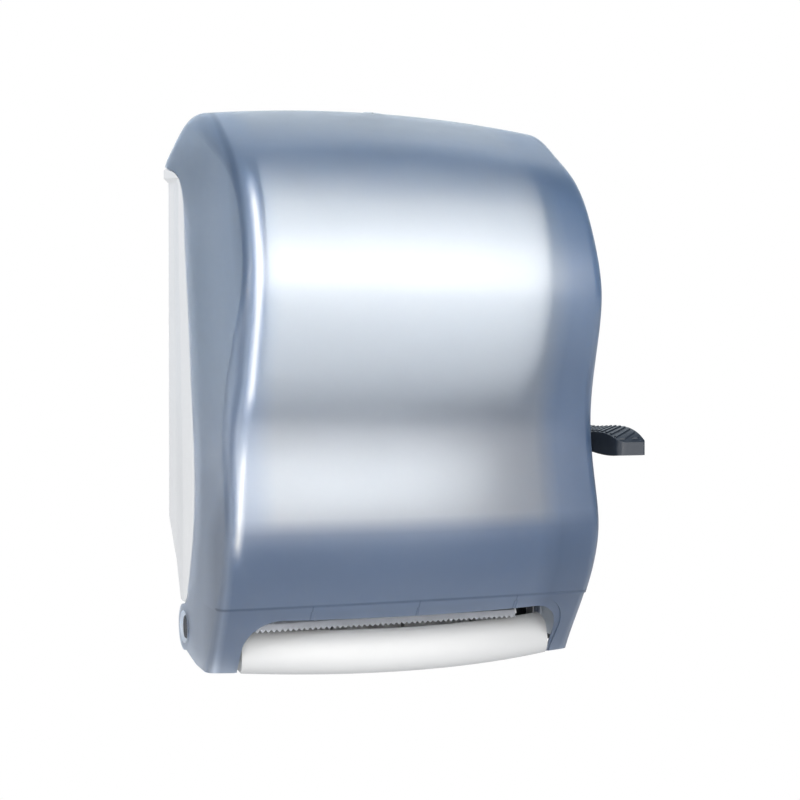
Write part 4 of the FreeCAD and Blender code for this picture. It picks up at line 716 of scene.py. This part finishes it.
def roll_form(radius, bore, start, end, step):
    """Return a tube of towels along X about the origin, with the edges of its windings on both ends."""
    drop_all()
    bpy.ops.mesh.primitive_cylinder_add(vertices=192, radius=radius, depth=end - start,
                                        location=((start + end) / 2, 0, 0), rotation=(0, math.pi / 2, 0))
    roll = added()
    windings = int((radius - bore) / step)
    for side in (-1.0, 1.0):
        choose(roll, "FACE", lambda centre, normal: normal.x * side > 0.9)
        for index in range(windings):
            bpy.ops.mesh.inset(thickness=(radius - bore) / windings)
            sink = -WINDING_SINK if index % 2 == 0 else WINDING_SINK
            bpy.ops.transform.translate(value=(side * sink * MM, 0, 0))
        bpy.ops.mesh.delete(type="FACE")
        done()
    choose(roll, "EDGE", lambda a, b: max(Vector((0, a.y, a.z)).length, Vector((0, b.y, b.z)).length)
           < bore + 0.2 * MM)
    bpy.ops.mesh.bridge_edge_loops()
    done()
    outwards(roll)
    return roll


FACES_PER_GROOVE = 3          # one of them is sunk


def sleeve_form(radius, bore, length, grooves, depth):
    """Return a grooved rubber sleeve along X from the origin."""
    drop_all()
    sides = grooves * FACES_PER_GROOVE
    bpy.ops.mesh.primitive_cylinder_add(vertices=sides, radius=radius, depth=length,
                                        location=(length / 2, 0, 0), rotation=(0, math.pi / 2, 0))
    sleeve = added()

    def in_groove(centre, normal):
        turn = math.atan2(normal.z, normal.y) / (2 * math.pi) * sides
        return abs(normal.x) < 0.5 and round(turn - 0.5) % FACES_PER_GROOVE == 0

    choose(sleeve, "FACE", lambda centre, normal: abs(normal.x) > 0.9)
    bpy.ops.mesh.inset(thickness=radius - depth * 1.5 - bore)
    bpy.ops.mesh.delete(type="FACE")
    done()
    choose(sleeve, "EDGE", lambda a, b: max(Vector((0, a.y, a.z)).length, Vector((0, b.y, b.z)).length)
           < bore + depth * 2.5)
    bpy.ops.mesh.bridge_edge_loops()
    done()
    choose(sleeve, "FACE", lambda centre, normal: in_groove(centre, normal)
           and Vector((0, centre.y, centre.z)).length > radius - depth)
    bpy.ops.mesh.extrude_region_shrink_fatten(TRANSFORM_OT_shrink_fatten={"value": -depth})
    done()
    outwards(sleeve)
    return sleeve


# ---------------------------------------------------------------- studio
WORLD_LIGHT = 0.15
BACK_LIGHT = 1.35
BACK_CENTRE = (0.2, 0.93, 0.3)  # the brightest direction of the world
BACK_FADE = (0.68, 0.93)        # the dot product with it at which the light starts to rise and is full
WORLD_TONE = (0.60, 0.80, 1.0, 1.0)
BACK_TONE = (0.82, 0.91, 1.0, 1.0)
WHITE = (1.0, 1.0, 1.0, 1.0)
LAMP_COLOUR = (1.0, 0.97, 0.93)
# name, bearing from the front towards the right, elevation, distance, width and height, radiance
SOFTBOXES = (("front", 14.0, 18.0, 2.5, (2.9, 2.1), 5.5),
             ("edge", -22.0, 16.0, 2.4, (0.20, 2.9), 30.0),
             ("left", -72.0, 8.0, 2.2, (0.4, 1.5), 10.0))
FLOOR_RADIUS, FLOOR_DROP = 14.0, 0.16
FLOOR_TONES = ((0.80, 0.80, 0.80, 1.0), (0.84, 0.84, 0.84, 1.0))
FLOOR_GLOW, FLOOR_GLOW_SEEN = 0.5, 0.5  # the glow's share, and what is added where the floor is seen
CAMERA_PLACE = (-0.281, -1.016, -0.021)
CAMERA_TILT, CAMERA_PAN = 89.327, -17.918
CAMERA_LENS, CAMERA_SENSOR, CAMERA_REACH = 56.1, 36.0, 60.0


def studio_floor():
    """Lay a pale floor below the dispenser; it is clear from below, so that the underside can be seen."""
    drop_all()
    bpy.ops.mesh.primitive_circle_add(vertices=96, radius=FLOOR_RADIUS, fill_type="NGON",
                                      location=(0.0, 0.0, CAD_BOX[0][2] - FLOOR_DROP))
    floor = added()
    floor.name = "floor"
    finish = Finish("floor_pale")
    base = finish.blend(finish.noise(0.8, 2.0), *FLOOR_TONES)
    matt = finish.add("ShaderNodeBsdfPrincipled", {}, {"Base Color": base, "Roughness": 0.7})
    glow = finish.add("ShaderNodeEmission", {}, {"Strength": 1.0})
    direct = finish.add("ShaderNodeLightPath", {}, {}, "Is Camera Ray")
    top = finish.mixed(direct * FLOOR_GLOW_SEEN + FLOOR_GLOW, matt, glow)
    under = finish.add("ShaderNodeNewGeometry", {}, {}, "Backfacing")
    clear = finish.add("ShaderNodeBsdfTransparent", {}, {})
    floor.data.materials.append(finish.closed(finish.mixed(under, top, clear)))


def studio_world(context):
    """Light the scene from all round, dimly, and more from behind, in front of a plain white background."""
    world = bpy.data.worlds.new("studio")
    context.scene.world = world
    world.use_nodes = True
    shader = Shader(world.node_tree, "Generated")
    facing = shader.add("ShaderNodeVectorMath", {"operation": "DOT_PRODUCT"},
                        {0: shader.place, 1: BACK_CENTRE}, "Value")
    tone = shader.blend(shader.between(facing, *BACK_FADE, 0.0, 1.0), WORLD_TONE, BACK_TONE)
    strength = shader.between(facing, *BACK_FADE, WORLD_LIGHT, BACK_LIGHT, "SMOOTHSTEP")
    light = shader.add("ShaderNodeBackground", {}, {"Color": tone, "Strength": strength})
    seen = shader.add("ShaderNodeBackground", {}, {"Color": WHITE})
    direct = shader.add("ShaderNodeLightPath", {}, {}, "Is Camera Ray")
    shader.add_output("ShaderNodeOutputWorld", shader.mixed(direct, light, seen))


def studio_lamps():
    """Hang the softboxes, each turned to the dispenser."""
    for name, turn, rise, reach, size, radiance in SOFTBOXES:
        bearing, height = math.radians(turn), math.radians(rise)
        place = Vector((math.sin(bearing) * math.cos(height), -math.cos(bearing) * math.cos(height),
                        math.sin(height))) * reach
        bpy.ops.object.light_add(type="AREA", location=place)
        lamp = bpy.context.object
        lamp.name = "lamp_" + name
        lamp.data.shape = "RECTANGLE"
        lamp.data.size, lamp.data.size_y = size
        lamp.data.color = LAMP_COLOUR
        lamp.data.energy = radiance * math.pi * size[0] * size[1]
        lamp.rotation_euler = (-place).to_track_quat("-Z", "Y").to_euler()
        lamp.visible_camera = False


def studio_camera(context):
    """Set the camera."""
    bpy.ops.object.camera_add(location=CAMERA_PLACE,
                              rotation=(math.radians(CAMERA_TILT), 0.0, math.radians(CAMERA_PAN)))
    camera = context.object
    camera.data.sensor_width = CAMERA_SENSOR
    camera.data.lens = CAMERA_LENS
    camera.data.clip_end = CAMERA_REACH
    context.scene.camera = camera
    context.scene.view_settings.view_transform = "Standard"


# ---------------------------------------------------------------- operators
class DISPENSER_OT_finishes(bpy.types.Operator):
    """Give every frame node the finish of its slot"""

    bl_idname = "dispenser.finishes"
    bl_label = "Finishes"

    def execute(self, context):
        make_finishes(context.scene.dispenser_colours)
        for name, node in NODES.items():
            node.data.materials.clear()
            node.data.materials.append(FINISHES[SLOT_OF[name]])
        return {"FINISHED"}


class DISPENSER_OT_screws(bpy.types.Operator):
    """Model the pan-head screws of the chassis, the gear case and the pan"""

    bl_idname = "dispenser.screws"
    bl_label = "Screws"

    def execute(self, context):
        head_radius = context.scene.dispenser_sizes.screw_head
        head, shank_radius = SCREW_HEAD_HEIGHT * MM, SCREW_SHANK_RADIUS * MM
        pan_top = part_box("pan_screws")[1][2] - head
        # node, length of the shanks, places of the heads and the way they face
        groups = (("chassis_screws", 5.0 * MM, [(row(*place), (0, -1, 0)) for place in CHASSIS_SCREWS]),
                  ("case_screws", 26.0 * MM, [(row(*place), (1, 0, 0)) for place in CASE_SCREWS]),
                  ("pan_screws", 4.5 * MM, [(Vector((x * MM, y * MM, pan_top)), (0, 0, 1))
                                            for x, y in PAN_SCREWS]))
        for node, shank, places in groups:
            screw = screw_form(head_radius, head, shank_radius, shank)
            joined = copies(screw, [towards(place, direction) for place, direction in places])
            settle(joined, node.replace("_screws", "_cross_screws"), "frame", "zinc", (node,), 40.0)
        return {"FINISHED"}


class DISPENSER_OT_springs(bpy.types.Operator):
    """Wind the return spring, the pinch springs and the arm spring"""

    bl_idname = "dispenser.springs"
    bl_label = "Springs"

    def execute(self, context):
        # node; radius, wire's radius and pitch in mm, turns; places and directions
        kinds = (("return_spring", (9.5, 1.0, 2.2, 4), [((99.5, -60.0, 150.0), (1, 0, 0))]),
                 ("pinch_springs", (4.2, 0.6, 1.4, 3), [((-119.8, -66.0, 56.0), (1, 0, 0)),
                                                        ((82.9, -66.0, 56.0), (1, 0, 0))]),
                 ("arm_spring", (4.2, 0.6, 1.7, 5), [((100.5, -14.0, 298.0), (0, 0, 1))]))
        for node, (radius, wire, pitch, turns), places in kinds:
            spring = coil_form(radius * MM, wire * MM, pitch * MM, turns)
            joined = copies(spring, [towards(row(*place), direction) for place, direction in places])
            settle(joined, node + "_wire", "frame", "spring_steel", (node,), 60.0)
        return {"FINISHED"}


class DISPENSER_OT_sleeves(bpy.types.Operator):
    """Mould the grooved rubber sleeves of the feed roller"""

    bl_idname = "dispenser.sleeves"
    bl_label = "Feed sleeves"

    def execute(self, context):
        sizes = context.scene.dispenser_sizes
        sleeve = sleeve_form(SLEEVE_RADIUS * MM, SLEEVE_BORE * MM, SLEEVE_LENGTH * MM, sizes.sleeve_grooves,
                             sizes.sleeve_groove)
        joined = copies(sleeve, [Matrix.Translation(row(x, *FEED_AXIS)) for x in SLEEVE_STARTS])
        settle(joined, "grooved_sleeves", "feed_roller", "sleeve_rubber", ("feed_sleeves",))
        return {"FINISHED"}


class DISPENSER_OT_rolls(bpy.types.Operator):
    """Wind the towel roll, and the used-up roll with its core and its end in the cradle"""

    bl_idname = "dispenser.rolls"
    bl_label = "Rolls"

    def execute(self, context):
        sizes = context.scene.dispenser_sizes
        bore = CORE_OUTER * MM
        start, end = (x * MM for x in ROLL_SPAN)
        roll = roll_form(sizes.roll_radius, bore, start, end, sizes.winding)
        roll = copies(roll, [Matrix.Translation(row(0.0, *ROLL_AXIS))])
        settle(roll, "wound_towels", "left_hub", "towel_white", ("towel_roll",))

        start, end = (x * MM for x in STUB_SPAN)
        stub = roll_form(sizes.stub_radius, bore, start, end, sizes.winding)
        stub = copies(stub, [Matrix.Translation(row(0.0, *STUB_AXIS))])
        settle(stub, "stub_towels", "frame", "towel_white")
        core = roll_form(bore, CORE_BORE * MM, start, end, CORE_WINDING * MM)
        core = copies(core, [Matrix.Translation(row(0.0, *STUB_AXIS))])
        settle(core, "stub_core", "frame", "core_card")
        self.towel_end(start, end, sizes.stub_radius)
        return {"FINISHED"}

    def towel_end(self, start, end, stub_radius):
        """Lead the stub's towel down behind the feed roller, into the nip."""
        paper = PAPER * MM
        feed_radius = (SLEEVE_RADIUS + PAPER_GAP) * MM
        wrap = math.radians(TOWEL_WRAP)
        stub, feed = row(0.0, *STUB_AXIS), row(0.0, *FEED_AXIS)
        across = stub - feed
        turn = math.atan2(across.z, across.y) + math.acos(-(stub_radius + feed_radius) / across.length)
        outward = Vector((0, math.cos(turn), math.sin(turn)))
        top = stub + outward * stub_radius
        low = feed - outward * (feed_radius + paper / 2)
        drop_all()
        bpy.ops.mesh.primitive_plane_add(size=1.0, location=((start + end) / 2, top.y, top.z),
                                         rotation=(turn, 0, 0))
        bpy.context.object.scale = (end - start, paper, 1.0)
        sheet = added()
        choose(sheet, "FACE", lambda centre, normal: True)
        bpy.ops.mesh.extrude_region_move(TRANSFORM_OT_translate={"value": low - top})
        bpy.ops.mesh.spin(steps=10, angle=wrap, center=feed, axis=(-1, 0, 0))
        done()
        outwards(sheet)
        settle(sheet, "stub_end", "frame", "towel_white")


class DISPENSER_OT_stage(bpy.types.Operator):
    """Set the pale floor, the soft lights and the camera"""

    bl_idname = "dispenser.stage"
    bl_label = "Studio"

    def execute(self, context):
        studio_floor()
        studio_world(context)
        studio_lamps()
        studio_camera(context)
        return {"FINISHED"}


class DISPENSER_PT_panel(bpy.types.Panel):
    """Sizes, colours and steps of the dispenser"""

    bl_idname = "DISPENSER_PT_panel"
    bl_label = "Roll towel dispenser"
    bl_space_type = "VIEW_3D"
    bl_region_type = "UI"
    bl_category = "Dispenser"

    def draw(self, context):
        layout = self.layout
        for group in (context.scene.dispenser_sizes, context.scene.dispenser_colours):
            for name in group.__annotations__:
                layout.prop(group, name)
        for step in STEPS:
            layout.operator(step.bl_idname)


STEPS = (DISPENSER_OT_finishes, DISPENSER_OT_screws, DISPENSER_OT_springs, DISPENSER_OT_sleeves,
         DISPENSER_OT_rolls, DISPENSER_OT_stage)
CLASSES = (DispenserSizes, DispenserColours) + STEPS + (DISPENSER_PT_panel,)


def register():
    for item in CLASSES:
        bpy.utils.register_class(item)
    bpy.types.Scene.dispenser_sizes = PointerProperty(type=DispenserSizes)
    bpy.types.Scene.dispenser_colours = PointerProperty(type=DispenserColours)


def unregister():
    del bpy.types.Scene.dispenser_colours
    del bpy.types.Scene.dispenser_sizes
    for item in reversed(CLASSES):
        bpy.utils.unregister_class(item)


def main():
    """Build everything."""
    register()
    bpy.ops.dispenser.finishes()
    bpy.ops.dispenser.screws()
    bpy.ops.dispenser.springs()
    bpy.ops.dispenser.sleeves()
    bpy.ops.dispenser.rolls()
    bpy.ops.dispenser.stage()


if __name__ == "__main__":
    main()
